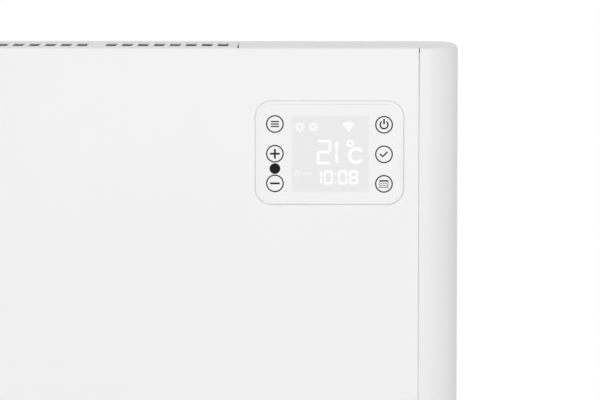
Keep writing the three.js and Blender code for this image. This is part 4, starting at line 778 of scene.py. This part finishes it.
# ---------------------------------------------------------------------------------------------
# Touch glass
# A flat white acrylic overlay that lies a little below the frame's rim. The display behind it shows
# as a greyish square with soft edges, and the rings, signs and figures are printed on its face.
# ---------------------------------------------------------------------------------------------
PRINT = 0.04 * MM
GLASS_RECESS = 0.15 * MM
HAIRLINE = 0.02 * MM
TOP_HAIRLINE = 0.06 * MM
WINDOW_HALF = (28.2 * MM, 27.9 * MM)
WINDOW_RISE = 0.28 * MM
WINDOW_SOFT = 2.8 * MM
WINDOW_GREY = (0.926, 0.926, 0.928)

glass_low, glass_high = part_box("touch_overlay")
glass_face = glass_low.y + GLASS_RECESS
print_face = glass_face - PRINT
grow = FIT - HAIRLINE
glass = rounded_block(
    "touch_glass",
    (glass_low.x - grow, glass_face, glass_low.z - grow),
    (glass_high.x + grow, glass_high.y, glass_high.z + FIT - TOP_HAIRLINE),
    CONTROL_CORNER - FRAME_RIM - HAIRLINE, 1, 14)
bpy.ops.mesh.select_all(action="SELECT")
bpy.ops.mesh.normals_make_consistent(inside=False)
soften(glass, width=0.02 * MM)


def show_window(made, pale, grey, centre, half, soft):
    """Greys a square of the surface, half wide and high, whose edges fade over a soft width."""
    tree = made.node_tree
    place = tree.nodes.new("ShaderNodeTexCoord").outputs["Object"]
    from_centre = add_node(tree, "VectorMath", place, centre, operation="SUBTRACT")
    reach = add_node(tree, "VectorMath", from_centre, operation="ABSOLUTE")
    past_edge = add_node(tree, "VectorMath", reach, (half[0], 0, half[1]), operation="SUBTRACT")
    axes = tree.nodes.new("ShaderNodeSeparateXYZ")
    tree.links.new(past_edge, axes.inputs[0])
    farther = add_node(tree, "Math", axes.outputs["X"], axes.outputs["Z"], operation="MAXIMUM")
    fade = tree.nodes.new("ShaderNodeMapRange")
    fade.interpolation_type = "SMOOTHSTEP"
    fade.inputs["From Min"].default_value = -soft / 2
    fade.inputs["From Max"].default_value = soft / 2
    tree.links.new(farther, fade.inputs["Value"])
    ramp = tree.nodes.new("ShaderNodeValToRGB")
    ramp.color_ramp.elements[0].color = rgba(grey)
    ramp.color_ramp.elements[1].color = rgba(pale)
    tree.links.new(fade.outputs["Result"], ramp.inputs["Fac"])
    tree.links.new(ramp.outputs["Color"], tree.nodes["Principled BSDF"].inputs["Base Color"])


window = Vector((display.x, glass_face, display.z))
touch_white = finish("touch_white", GLOSS, 0.17)
relief(touch_white, noise(touch_white, 6 * MM, 1), 0.002 * MM)
vary(touch_white, "Roughness", noise(touch_white, 20 * MM, 3), 0.15, 0.2)
show_window(touch_white, GLOSS, WINDOW_GREY, window + Vector((0, 0, WINDOW_RISE)), WINDOW_HALF, WINDOW_SOFT)
hang(glass, touch_white, "gloss_white", "heater", "touch_overlay")

# ---------------------------------------------------------------------------------------------
# Key prints
# Six rings in black ink with a sign in each: bars, plus, minus, power, a tick and a calendar. A
# round black window for the remote control's receiver lies between plus and minus. The left-hand
# column is printed a little higher than its springs.
# ---------------------------------------------------------------------------------------------
RING = 6.5 * MM
RING_LINE = 0.92 * MM
SIGN_LINE = 1.35 * MM
POWER_LINE = 1.05 * MM
SIGN_REACH = 7.1 * MM
POWER_RING = 3.36 * MM
POWER_GAP = math.radians(34)
POWER_BAR = (1.2 * MM, 4 * MM)
POWER_BAR_RISE = 2.35 * MM
MODE_BAR = (6 * MM, 0.9 * MM)
MODE_STEP = 1.8 * MM
TICK_LINE = 1 * MM
TICK_SHORT = (-1.9 * MM, -0.7 * MM, 3 * MM)
TICK_LONG = (0.8 * MM, 0.1 * MM, 5.2 * MM)
CALENDAR_WIDTH = 6.4 * MM
CALENDAR_LINE = 0.5 * MM
CALENDAR_HEAD = (2.2 * MM, 1.1 * MM)
CALENDAR_FOOT_DROP = 2.5 * MM
CALENDAR_SIDE = (2.95 * MM, 0.3 * MM, 3.9 * MM)
CALENDAR_DAY = 0.75 * MM
CALENDAR_PITCH = 1.5 * MM
CALENDAR_DAY_DROP = 0.35 * MM
RECEIVER = 3.95 * MM
PRINT_RISE = {"mode": 0.5 * MM, "plus": 0.4 * MM, "minus": 0.3 * MM}

black_ink = finish("black_ink", (0.05, 0.05, 0.05), 0.5)
black_ink.node_tree.nodes["Principled BSDF"].inputs["Specular IOR Level"].default_value = 0.15
tint(black_ink, noise(black_ink, 2 * MM, 2), (0.04, 0.04, 0.04), (0.07, 0.07, 0.07))
vary(black_ink, "Roughness", noise(black_ink, 3 * MM, 2), 0.45, 0.6)


def plate(x, z, width, height, turn=0):
    """A thin printed rectangle on the touch glass, centred at x and z and turned by an angle."""
    made = block("print", (-width / 2, 0, -height / 2), (width / 2, PRINT, height / 2))
    bpy.ops.object.mode_set(mode="OBJECT")
    made.rotation_euler.y = turn
    made.location = (x, print_face, z)
    settle()
    return made


def ring(x, z, outer, line, gap=None, stretch=(1, 1), vertices=72):
    """A thin printed ring on the touch glass. gap(angle) is true where the ring is left open.

    The angle is 0 towards +X and runs up towards +Z, in radians from -pi to pi.
    """
    only()
    bpy.ops.mesh.primitive_circle_add(
        vertices=vertices, radius=outer, fill_type="NGON", rotation=(math.pi / 2, 0, 0))
    made = bpy.context.object
    settle()
    bpy.ops.object.mode_set(mode="EDIT")
    if line < outer:
        bpy.ops.mesh.inset(thickness=line)
        bpy.ops.mesh.delete(type="FACE")
    if gap:
        pick("FACE", lambda middle, way: gap(math.atan2(middle.z, middle.x)))
        bpy.ops.mesh.delete(type="FACE")
    apply(made, "SOLIDIFY", thickness=PRINT, offset=-1)
    made.scale = (stretch[0], 1, stretch[1])
    made.location = (x, print_face, z)
    settle()
    return made


def union(first, *others):
    """Overlapping prints as one shape."""
    weld(first, *others)
    return first


def printed(name, material, slot, *shapes):
    """Joins printed shapes into one piece in one ink."""
    only(*shapes)
    bpy.ops.object.join()
    made = bpy.context.object
    made.name = made.data.name = name
    made.data.materials.clear()
    hang(made, material, slot)


def mode_sign(x, z):
    """Three level bars, one above the other."""
    return [plate(x, z + step * MODE_STEP, *MODE_BAR) for step in (-1, 0, 1)]


def plus_sign(x, z):
    """Two strokes that cross."""
    return [union(plate(x, z, SIGN_REACH, SIGN_LINE), plate(x, z, SIGN_LINE, SIGN_REACH))]


def minus_sign(x, z):
    """One level stroke."""
    return [plate(x, z, SIGN_REACH, SIGN_LINE)]


def power_sign(x, z):
    """A ring that is open at the top, with an upright stroke in the gap."""
    return [ring(x, z, POWER_RING, POWER_LINE, lambda angle: abs(angle - math.pi / 2) < POWER_GAP),
            plate(x, z + POWER_BAR_RISE, *POWER_BAR)]


def select_sign(x, z):
    """A tick of a short and a long stroke, each given by its place and its length."""
    strokes = [plate(x + right, z + up, length, TICK_LINE, math.radians(turn))
               for (right, up, length), turn in ((TICK_SHORT, 45), (TICK_LONG, -45))]
    return [union(*strokes)]


def program_sign(x, z):
    """A calendar: a thick head, a foot, two sides and six days."""
    side_x, side_drop, side_height = CALENDAR_SIDE
    head = plate(x, z + CALENDAR_HEAD[0], CALENDAR_WIDTH, CALENDAR_HEAD[1])
    foot = plate(x, z - CALENDAR_FOOT_DROP, CALENDAR_WIDTH, CALENDAR_LINE)
    sides = [plate(x + side * side_x, z - side_drop, CALENDAR_LINE, side_height) for side in (-1, 1)]
    days = [plate(x + column * CALENDAR_PITCH, z + row * CALENDAR_PITCH - CALENDAR_DAY_DROP,
                  CALENDAR_DAY, CALENDAR_DAY)
            for column in (-1, 0, 1) for row in (-0.5, 0.5)]
    return [head, foot, *sides, *days]


signs = {"mode": mode_sign, "plus": plus_sign, "minus": minus_sign,
         "power": power_sign, "select": select_sign, "program": program_sign}
for key, place in key_places.items():
    x, z = place.x, place.z + PRINT_RISE.get(key, 0)
    printed("key_print_" + key, black_ink, "gloss_white", ring(x, z, RING, RING_LINE), *signs[key](x, z))

dark_window = finish("receiver_window", (0.03, 0.03, 0.035), 0.25)
dark_window.node_tree.nodes["Principled BSDF"].inputs["Specular IOR Level"].default_value = 0.15
tint(dark_window, noise(dark_window, 4 * MM, 2), (0.025, 0.025, 0.03), (0.05, 0.05, 0.055))
between = (key_places["plus"] + key_places["minus"]) / 2
printed("receiver_window", dark_window, "display_glass",
        ring(between.x, between.z + PRINT_RISE["minus"], RECEIVER, RECEIVER, vertices=64))

# ---------------------------------------------------------------------------------------------
# Display figures
# White segments printed on the glass over the grey window: the temperature with its degree sign,
# the time, two sun signs, a radio fan and a small clock. They are seen as flat white shapes.
# The figures, the degree sign and the fan also carry a faint painted glow that no lamp gives.
# ---------------------------------------------------------------------------------------------
FIGURE = {"0": "abcdef", "1": "bc", "2": "abged", "8": "abcdefg"}
BIG = (10.9 * MM, 18 * MM, 2 * MM)
SMALL = (6.8 * MM, 10.4 * MM, 1.65 * MM)
SEGMENT_GAP = 0.14 * MM
TIP_INSET = 0.28
POINT_SHARE = 0.98
TEMPERATURE_RISE = 1.6 * MM
TIME_DROP = 17 * MM
TEMPERATURE = (("2", -4.7 * MM), ("1", 0.15 * MM))
TIME = (("1", -9.4 * MM), ("0", -1.5 * MM), ("0", 9.05 * MM), ("8", 17 * MM))
COLON_AT = 3.8 * MM
COLON_DOT = 1.3 * MM
COLON_RISES = (2.65 * MM, -3.85 * MM)
DEGREE_RING = (14.45 * MM, 8 * MM, 2.65 * MM, 1.45 * MM)
UNIT_ARC = (18.85 * MM, -0.85 * MM, 6 * MM, 2.25 * MM)
UNIT_OPENING = math.radians(37)
UNIT_STRETCH = (0.98, 1.04)
SUNS = ((-22.4 * MM, 19.95 * MM, 3.9 * MM), (-12.4 * MM, 19.95 * MM, 3.65 * MM))
SUN_RAYS = 8
SUN_RAY_AT = 0.87
SUN_RAY = (0.26, 0.34)
SUN_RING = (0.74, 0.44)
FAN_AT = (13.2 * MM, 16.5 * MM)
FAN_ARCS = ((1.9 * MM, 1.8 * MM, 45), (4.4 * MM, 1.9 * MM, 36), (7.15 * MM, 2.1 * MM, 39))
CLOCK_AT = (-24.2 * MM, -14.1 * MM)
CLOCK_RING = (2.2 * MM, 0.6 * MM)
CLOCK_LINE = 0.45 * MM
MINUTE_HAND = (0.5 * MM, 1.4 * MM)
HOUR_HAND = (0.7 * MM, 1 * MM)
DASH = (1.7 * MM, 1 * MM)
DASH_PLACES = (4.6 * MM, 6.95 * MM, 9.3 * MM)

faint_white = finish("faint_white", (0.975, 0.975, 0.975), 0.35)
tint(faint_white, noise(faint_white, 5 * MM, 2), (0.972, 0.972, 0.972), (0.978, 0.978, 0.978))
# The segments' white is their own colour. The faint emission on top of it is a painted glow that no lamp
# gives, so they read brighter than the white round them.
glowing_segment_white = finish("glowing_segment_white", (0.99, 0.99, 0.99), 0.35)
glowing_segment_white.node_tree.nodes["Principled BSDF"].inputs["Emission Color"].default_value = (1, 1, 1, 1)
glowing_segment_white.node_tree.nodes["Principled BSDF"].inputs["Emission Strength"].default_value = 0.05
tint(glowing_segment_white, noise(glowing_segment_white, 5 * MM, 2), (0.985, 0.985, 0.985), (0.993, 0.993, 0.993))


def segment(letter, size):
    """One segment of a figure about the figure's middle, pointed at both ends."""
    width, height, stroke = size
    right, top, half = width / 2, height / 2, stroke / 2
    tip = TIP_INSET * stroke
    inner_cut, even_cut = POINT_SHARE * stroke - tip, POINT_SHARE / 2 * stroke
    if letter in "ad":
        end = right - tip - SEGMENT_GAP
        low, high = (-end, top - stroke), (end, top)
        cuts = [(x, z, cut) for x in (-end, end) for z, cut in ((top, tip), (top - stroke, inner_cut))]
    elif letter == "g":
        end = right - half - SEGMENT_GAP
        low, high = (-end, -half), (end, half)
        cuts = [(x, z, even_cut) for x in (-end, end) for z in (-half, half)]
    else:
        up = 1 if letter in "be" else -1
        outer, inner = up * (top - tip - SEGMENT_GAP), up * SEGMENT_GAP
        low, high = (right - stroke, min(outer, inner)), (right, max(outer, inner))
        cuts = [(high[0], outer, tip), (low[0], outer, inner_cut),
                (high[0], inner, even_cut), (low[0], inner, even_cut)]
    made = block("segment", (low[0], 0, low[1]), (high[0], PRINT, high[1]))
    for x, z, cut in cuts:
        pick("EDGE", lambda middle, way: abs(way.y) > 0.99 and near(middle.x, x) and near(middle.z, z))
        bevel(cut, 1)
    return made


def figure(digit, x, z, size):
    """The lit segments of one seven-segment figure, centred at x and z from the window's middle."""
    shapes = []
    for letter in FIGURE[digit]:
        made = segment(letter, size)
        bpy.ops.object.mode_set(mode="OBJECT")
        made.rotation_euler.y = math.pi if letter in "def" else 0
        made.location = (window.x + x, print_face, window.z + z)
        settle()
        shapes.append(made)
    return shapes


def figures(places, rise, size):
    """A row of figures, each at its own place across and all at one height."""
    return [shape for digit, x in places for shape in figure(digit, x, rise, size)]


def sun(x, z, radius):
    """A ring with short, wide rays all round."""
    rays = []
    for step in range(SUN_RAYS):
        angle = step * math.tau / SUN_RAYS
        out = radius * SUN_RAY_AT
        rays.append(plate(window.x + x + out * math.cos(angle), window.z + z + out * math.sin(angle),
                          radius * SUN_RAY[0], radius * SUN_RAY[1], turn=-angle))
    disc = ring(window.x + x, window.z + z, radius * SUN_RING[0], radius * SUN_RING[1], vertices=40)
    return [disc, *rays]


def radio_fan(x, z, arcs):
    """Arcs of a radius, a line width and a half angle in degrees that open upwards round one point."""
    return [ring(window.x + x, window.z + z, radius, line,
                 lambda angle: abs(angle - math.pi / 2) > math.radians(half_angle))
            for radius, line, half_angle in arcs]


printed("display_temperature", glowing_segment_white, "display_glass",
        *figures(TEMPERATURE, TEMPERATURE_RISE, BIG))
x, z, outer, line = DEGREE_RING
degree_ring = ring(window.x + x, window.z + z, outer, line)
x, z, outer, line = UNIT_ARC
unit_arc = ring(window.x + x, window.z + z, outer, line, lambda angle: abs(angle) < UNIT_OPENING,
                stretch=UNIT_STRETCH)
printed("display_degree_sign", glowing_segment_white, "display_glass", degree_ring, unit_arc)
time_figures = figures(TIME, -TIME_DROP, SMALL)
colon = [plate(window.x + COLON_AT, window.z - TIME_DROP + rise, COLON_DOT, COLON_DOT)
         for rise in COLON_RISES]
printed("display_time", glowing_segment_white, "display_glass", *time_figures, *colon)
printed("display_fan", glowing_segment_white, "display_glass", *radio_fan(*FAN_AT, FAN_ARCS))
sun_signs = [shape for place in SUNS for shape in sun(*place)]
clock_x, clock_z = window.x + CLOCK_AT[0], window.z + CLOCK_AT[1]
clock = [ring(clock_x, clock_z, *CLOCK_RING, vertices=40),
         plate(clock_x, clock_z + MINUTE_HAND[0], CLOCK_LINE, MINUTE_HAND[1]),
         plate(clock_x + HOUR_HAND[0], clock_z, HOUR_HAND[1], CLOCK_LINE)]
dashes = [plate(clock_x + right, clock_z, *DASH) for right in DASH_PLACES]
printed("display_signs", faint_white, "display_glass", *sun_signs, *clock, *dashes)

# ---------------------------------------------------------------------------------------------
# Mains switch
# A black snap-in rocker switch in the right-hand side. Its body has a rounded collar outside the
# wall and three blades inside, and the key is a shallow V with an I and an O in white.
# ---------------------------------------------------------------------------------------------
COLLAR_CORNER = 1.6 * MM
COLLAR_EDGE = 0.6 * MM
SWITCH_DEPTH = 18 * MM
PIVOT_DEPTH = 2.2 * MM
KEY_HALF = 7.2 * MM
KEY_RISE = 3.8 * MM
KEY_DIP = 2.4 * MM
KEY_KEEL = 3 * MM
KEY_HALF_WIDTH = 4.8 * MM
KEY_TILT = math.radians(11)
STUB = 1.2 * MM
BLADE = (7 * MM, 0.8 * MM, 3.2 * MM)
BLADE_SPREAD = 5 * MM
MARK_REACH = 1.7 * MM
MARK_STROKE_HALF = 0.45 * MM
MARK_BORE = 1.15 * MM

black_plastic = finish("black_moulding", (0.13, 0.13, 0.135), 0.45)
relief(black_plastic, noise(black_plastic, 0.35 * MM, 2), 0.012 * MM)
vary(black_plastic, "Roughness", noise(black_plastic, 8 * MM, 3), 0.4, 0.52)
tint(black_plastic, noise(black_plastic, 14 * MM, 2), (0.12, 0.12, 0.125), (0.145, 0.145, 0.15))
mark_white = finish("mark_white", (0.93, 0.93, 0.93), 0.5)
vary(mark_white, "Roughness", noise(mark_white, 1 * MM, 2), 0.45, 0.6)

pivot = Vector((SIDE - PIVOT_DEPTH, switch.y, switch.z))
collar_half = Vector((0, (switch_high.y - switch_low.y) / 2, (switch_high.z - switch_low.z) / 2))
body_half = Vector((0, SWITCH_HOLE[0] / 2 - FIT, SWITCH_HOLE[1] / 2 - FIT))
switch_body = rounded_block(
    "switch_body", (SIDE + FIT, switch_low.y, switch_low.z), switch_high, COLLAR_CORNER, 0, 6)
pick("EDGE", lambda middle, way: near(middle.x, switch_high.x))
bevel(COLLAR_EDGE, 3)
pick("FACE", lambda middle, way: way.x < -0.999 and near(middle.x, SIDE + FIT))
extrude(0, 0, 0)
shrink = (1, body_half.y / collar_half.y, body_half.z / collar_half.z)
bpy.ops.transform.resize(value=shrink, center_override=(0, switch.y, switch.z))
extrude(-SWITCH_DEPTH - FIT, 0, 0)
pocket_y, pocket_z = KEY_HALF_WIDTH + FIT, math.hypot(KEY_HALF, KEY_RISE) + FIT
cut_out(switch_body, block(
    "key_pocket",
    (pivot.x - KEY_HALF, switch.y - pocket_y, switch.z - pocket_z),
    (switch_high.x + CUT_PAST, switch.y + pocket_y, switch.z + pocket_z)))
blade_end = SIDE - SWITCH_DEPTH - BLADE[0]
for step in (-1, 0, 1):
    z = switch.z + step * BLADE_SPREAD
    weld(switch_body, block("blade", (blade_end, switch.y - BLADE[1] / 2, z - BLADE[2] / 2),
                            (SIDE - SWITCH_DEPTH + MOULD / 2, switch.y + BLADE[1] / 2, z + BLADE[2] / 2)))
soften(switch_body, width=0.15 * MM)
hang(switch_body, black_plastic, "black_plastic", "heater", "mains_switch_body")

rocker = block("switch_key", (-KEY_KEEL, -KEY_HALF_WIDTH, -KEY_HALF), (KEY_RISE, KEY_HALF_WIDTH, KEY_HALF))
slice_at((0, 0, 0), (0, 0, 1))
slice_at((0, 0, 0), (1, 0, 0))
pick("EDGE", lambda middle, way: near(middle.x, KEY_RISE) and near(middle.z, 0))
bpy.ops.transform.translate(value=(KEY_DIP - KEY_RISE, 0, 0))
pick("EDGE", lambda middle, way: near(middle.x, -KEY_KEEL) and near(abs(middle.z), KEY_HALF))
bpy.ops.transform.resize(value=(1, 1, KEY_KEEL / KEY_HALF), center_override=(0, 0, 0))
weld(rocker, rod("stub", STUB, (0, -body_half.y + FIT, 0), (0, body_half.y - FIT, 0)))
soften(rocker, width=0.45 * MM, segments=3)


def set_on_pivot(made):
    """Turns a piece that was made about the pivot by the key's tilt and puts it in the switch."""
    only(made)
    made.rotation_euler.y = -KEY_TILT
    made.location = pivot
    settle()


set_on_pivot(rocker)
hang(rocker, black_plastic, "black_plastic", "rocker", "mains_switch_rocker")

mark_slope = math.atan((KEY_RISE - KEY_DIP) / KEY_HALF)
mark_x = (KEY_RISE + KEY_DIP) / 2
mark_z = KEY_HALF / 2
stroke_mark = block("mark_on", (mark_x - PRINT, -MARK_STROKE_HALF, mark_z - MARK_REACH),
                    (mark_x + PRINT, MARK_STROKE_HALF, mark_z + MARK_REACH))
bpy.ops.object.mode_set(mode="OBJECT")
circle_mark = rod("mark_off", MARK_REACH, (mark_x - PRINT, 0, -mark_z), (mark_x + PRINT, 0, -mark_z))
cut_out(circle_mark, rod("mark_cutter", MARK_BORE, (mark_x - CUT_PAST, 0, -mark_z),
                         (mark_x + CUT_PAST, 0, -mark_z)))
for mark, way in ((stroke_mark, 1), (circle_mark, -1)):
    only(mark)
    centre = Vector((mark_x, 0, way * mark_z))
    lean = Matrix.Rotation(way * mark_slope, 4, "Y")
    mark.data.transform(Matrix.Translation(centre) @ lean @ Matrix.Translation(-centre))
    set_on_pivot(mark)
    hang(mark, mark_white, "black_plastic", "rocker")

# ---------------------------------------------------------------------------------------------
# Cable gland
# A black strain relief in the underside of the right-hand moulding: a domed head outside, a neck
# through the wall and a nut inside, bored for the mains lead.
# ---------------------------------------------------------------------------------------------
GLAND_NECK = 6.5 * MM
GLAND_DOME = 1.2 * MM
GLAND_BORE = 4.2 * MM
gland_radius = (gland_high.x - gland_low.x) / 2

gland_piece = rod("strain_relief", gland_radius, (gland.x, gland.y, gland_low.z),
                  (gland.x, gland.y, BOTTOM - FIT), 48)
bpy.ops.object.mode_set(mode="EDIT")
pick("EDGE", lambda middle, way: near(middle.z, gland_low.z))
bevel(GLAND_DOME, 5)
pick("FACE", lambda middle, way: way.z > 0.99 and near(middle.z, BOTTOM - FIT))
bpy.ops.mesh.inset(thickness=gland_radius - GLAND_NECK)
extrude(0, 0, MOULD + 2 * FIT)
extrude(0, 0, 0)
widen = gland_radius / GLAND_NECK
bpy.ops.transform.resize(value=(widen, widen, 1), center_override=(gland.x, gland.y, 0))
nut_face = BOTTOM + MOULD + FIT
extrude(0, 0, gland_high.z - nut_face)
cut_out(gland_piece, rod("bore_cutter", GLAND_BORE, (gland.x, gland.y, gland_low.z - CUT_PAST),
                         (gland.x, gland.y, gland_high.z + CUT_PAST), 48))
soften(gland_piece, width=0.25 * MM)
hang(gland_piece, black_plastic, "black_plastic", "heater", "cable_gland")

# ---------------------------------------------------------------------------------------------
# Wall bracket
# Two pressed channels with hooks and two cross rails, in 2 mm galvanised steel. The rails lap over
# the channels and are held by two rivets at each end.
# ---------------------------------------------------------------------------------------------
RIVET = 3.2 * MM
RIVET_RISE = 1.2 * MM
RIVET_ROUNDING = 0.9 * MM
RIVET_SPREAD = 9 * MM
BRACKET_EDGE = 0.3 * MM

galvanised = finish("zinc_coat", (0.72, 0.73, 0.74), 0.42, 0.85)
spangle = galvanised.node_tree.nodes.new("ShaderNodeTexVoronoi")
spangle.inputs["Scale"].default_value = 1 / (4 * MM)
spangle_place = galvanised.node_tree.nodes.new("ShaderNodeTexCoord")
galvanised.node_tree.links.new(spangle_place.outputs["Object"], spangle.inputs["Vector"])
tint(galvanised, spangle.outputs["Color"], (0.715, 0.722, 0.735), (0.75, 0.757, 0.768))
vary(galvanised, "Roughness", noise(galvanised, 12 * MM, 4), 0.34, 0.52)
relief(galvanised, noise(galvanised, 0.6 * MM, 3), 0.01 * MM)


def eased_copy(name, node, edge):
    """A copy of a CAD node with its triangles merged into whole faces and its edges eased."""
    made = frame["nodes"][node].copy()
    made.data = made.data.copy()
    made.name = made.data.name = name
    made.parent = None
    for key in list(made.keys()):
        del made[key]
    scene.collection.objects.link(made)
    made.data.materials.clear()
    only(made)
    bpy.ops.object.mode_set(mode="EDIT")
    bpy.ops.mesh.select_all(action="SELECT")
    bpy.ops.mesh.remove_doubles(threshold=0.002 * MM)
    bpy.ops.mesh.dissolve_limited(angle_limit=math.radians(0.5))
    soften(made, edge)
    return made


for name, node in (("upright_left", "bracket_upright_left"), ("upright_right", "bracket_upright_right"),
                   ("rail_upper", "bracket_rail_upper"), ("rail_lower", "bracket_rail_lower")):
    piece = eased_copy(name, node, BRACKET_EDGE)
    hang(piece, galvanised, "galvanised", "wall_bracket", node)

rail_middle_z = [sum(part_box(node), Vector()).z / 2 for node in ("bracket_rail_upper", "bracket_rail_lower")]
upright_x = (upright_low.x + upright_high.x) / 2
rail_face = -2 * HOOK_SHEET - FIT
count = 0
for side in (-1, 1):
    for z in rail_middle_z:
        for step in (-1, 1):
            count += 1
            at = (side * upright_x, rail_face, z + step * RIVET_SPREAD)
            rivet = rod("rivet_%d" % count, RIVET, at, (at[0], rail_face - RIVET_RISE, at[2]), 24)
            bpy.ops.object.mode_set(mode="EDIT")
            pick("EDGE", lambda middle, way: near(middle.y, rail_face - RIVET_RISE))
            bevel(RIVET_ROUNDING, 4)
            soften(rivet, width=0.05 * MM)
            hang(rivet, galvanised, "galvanised", "wall_bracket")

# ---------------------------------------------------------------------------------------------
# Rear panel screws
# Six zinc-plated pan-head screws with a cross recess hold the rear panel to the mouldings' bosses.
# ---------------------------------------------------------------------------------------------
HEAD = 3.6 * MM
HEAD_RISE = 1.9 * MM
HEAD_ROUNDING = 1.3 * MM
RECESS = (2.9 * MM, 0.8 * MM, 1.1 * MM)

bright_steel = finish("plated_steel", (0.74, 0.74, 0.75), 0.3, 1.0)
vary(bright_steel, "Roughness", noise(bright_steel, 4 * MM, 4), 0.24, 0.4)
relief(bright_steel, noise(bright_steel, 0.5 * MM, 2, (1, 6, 1)), 0.006 * MM)
tint(bright_steel, noise(bright_steel, 9 * MM, 3), (0.70, 0.70, 0.71), (0.77, 0.77, 0.78))

screw = rod("screw", HEAD, (0, 0, 0), (0, HEAD_RISE, 0), 32)
bpy.ops.object.mode_set(mode="EDIT")
pick("EDGE", lambda middle, way: near(middle.y, HEAD_RISE))
bevel(HEAD_ROUNDING, 5)
long_half, short_half, depth = RECESS[0] / 2, RECESS[1] / 2, RECESS[2]
bpy.ops.object.mode_set(mode="OBJECT")
for wide, high in ((long_half, short_half), (short_half, long_half)):
    cut_out(screw, block("recess_cutter", (-wide, HEAD_RISE - depth, -high),
                         (wide, HEAD_RISE + CUT_PAST, high)))
soften(screw, width=0.08 * MM)
count = 0
for x in (-boss_x, housing_inner + BOSS_INSET, boss_x):
    for z in boss_heights:
        count += 1
        copy = screw.copy()
        copy.data = screw.data.copy()
        copy.name = copy.data.name = "rear_screw_%d" % count
        scene.collection.objects.link(copy)
        only(copy)
        copy.location = (x, REAR, z)
        settle()
        hang(copy, bright_steel, "bright_steel")
bpy.data.objects.remove(screw)

# ---------------------------------------------------------------------------------------------
# Inner pieces
# The element, its carriers and shields, the electronics and the leads. They show a little through
# the air slots, and their CAD shapes stay, each in the finish that the real piece has.
# ---------------------------------------------------------------------------------------------
aluminium = finish("aluminium_profile", (0.80, 0.81, 0.82), 0.34, 1.0)
relief(aluminium, noise(aluminium, 0.5 * MM, 3, (0.02, 1, 1)), 0.02 * MM)
vary(aluminium, "Roughness", noise(aluminium, 3 * MM, 3, (0.05, 1, 1)), 0.28, 0.44)
tint(aluminium, noise(aluminium, 30 * MM, 3), (0.77, 0.78, 0.79), (0.83, 0.84, 0.85))

ceramic = finish("bare_ceramic", (0.90, 0.88, 0.83), 0.7)
relief(ceramic, noise(ceramic, 0.3 * MM, 4), 0.015 * MM)
tint(ceramic, noise(ceramic, 5 * MM, 3), (0.87, 0.85, 0.80), (0.92, 0.90, 0.86))

rubber = finish("grommet_rubber", (0.11, 0.11, 0.11), 0.8)
relief(rubber, noise(rubber, 0.4 * MM, 3), 0.01 * MM)
tint(rubber, noise(rubber, 8 * MM, 3), (0.10, 0.10, 0.10), (0.13, 0.13, 0.13))

nylon = finish("cream_nylon", (0.88, 0.86, 0.80), 0.4)
relief(nylon, noise(nylon, 0.4 * MM, 2), 0.006 * MM)
tint(nylon, noise(nylon, 12 * MM, 2), (0.87, 0.85, 0.79), (0.90, 0.88, 0.83))

laminate = finish("green_laminate", (0.09, 0.32, 0.17), 0.3)
relief(laminate, noise(laminate, 1.2 * MM, 1), 0.03 * MM)
tint(laminate, noise(laminate, 1.8 * MM, 0, (1, 1, 3)), (0.07, 0.27, 0.14), (0.13, 0.40, 0.22))

tape = finish("yellow_tape", (0.85, 0.72, 0.20), 0.35)
relief(tape, noise(tape, 2 * MM, 1, (1, 1, 4)), 0.02 * MM)
tint(tape, noise(tape, 6 * MM, 2), (0.82, 0.68, 0.17), (0.88, 0.76, 0.25))


def sleeve(name, first, second):
    """Silicone insulation of an inner lead, a little uneven in colour."""
    made = finish(name, first, 0.55)
    relief(made, noise(made, 0.6 * MM, 2), 0.01 * MM)
    tint(made, noise(made, 10 * MM, 3), first, second)
    return made


finishes = {
    "white_steel": powder_coat, "white_plastic": moulded_white, "gloss_white": gloss_white,
    "display_glass": touch_white, "galvanised": galvanised, "bright_steel": bright_steel,
    "black_plastic": black_plastic, "extruded_aluminium": aluminium, "ceramic": ceramic,
    "black_rubber": rubber, "natural_nylon": nylon, "board_laminate": laminate, "transformer_tape": tape,
    "red_insulation": sleeve("red_sleeve", (0.66, 0.17, 0.12), (0.72, 0.21, 0.15)),
    "grey_insulation": sleeve("grey_sleeve", (0.72, 0.72, 0.72), (0.77, 0.77, 0.77)),
    "green_insulation": sleeve("green_sleeve", (0.25, 0.52, 0.16), (0.72, 0.72, 0.16)),
}
for row in frame["record"]["subparts"]:
    node = frame["nodes"][row["node"]]
    for place in node.material_slots:
        place.material = finishes[row["material_slot"]]
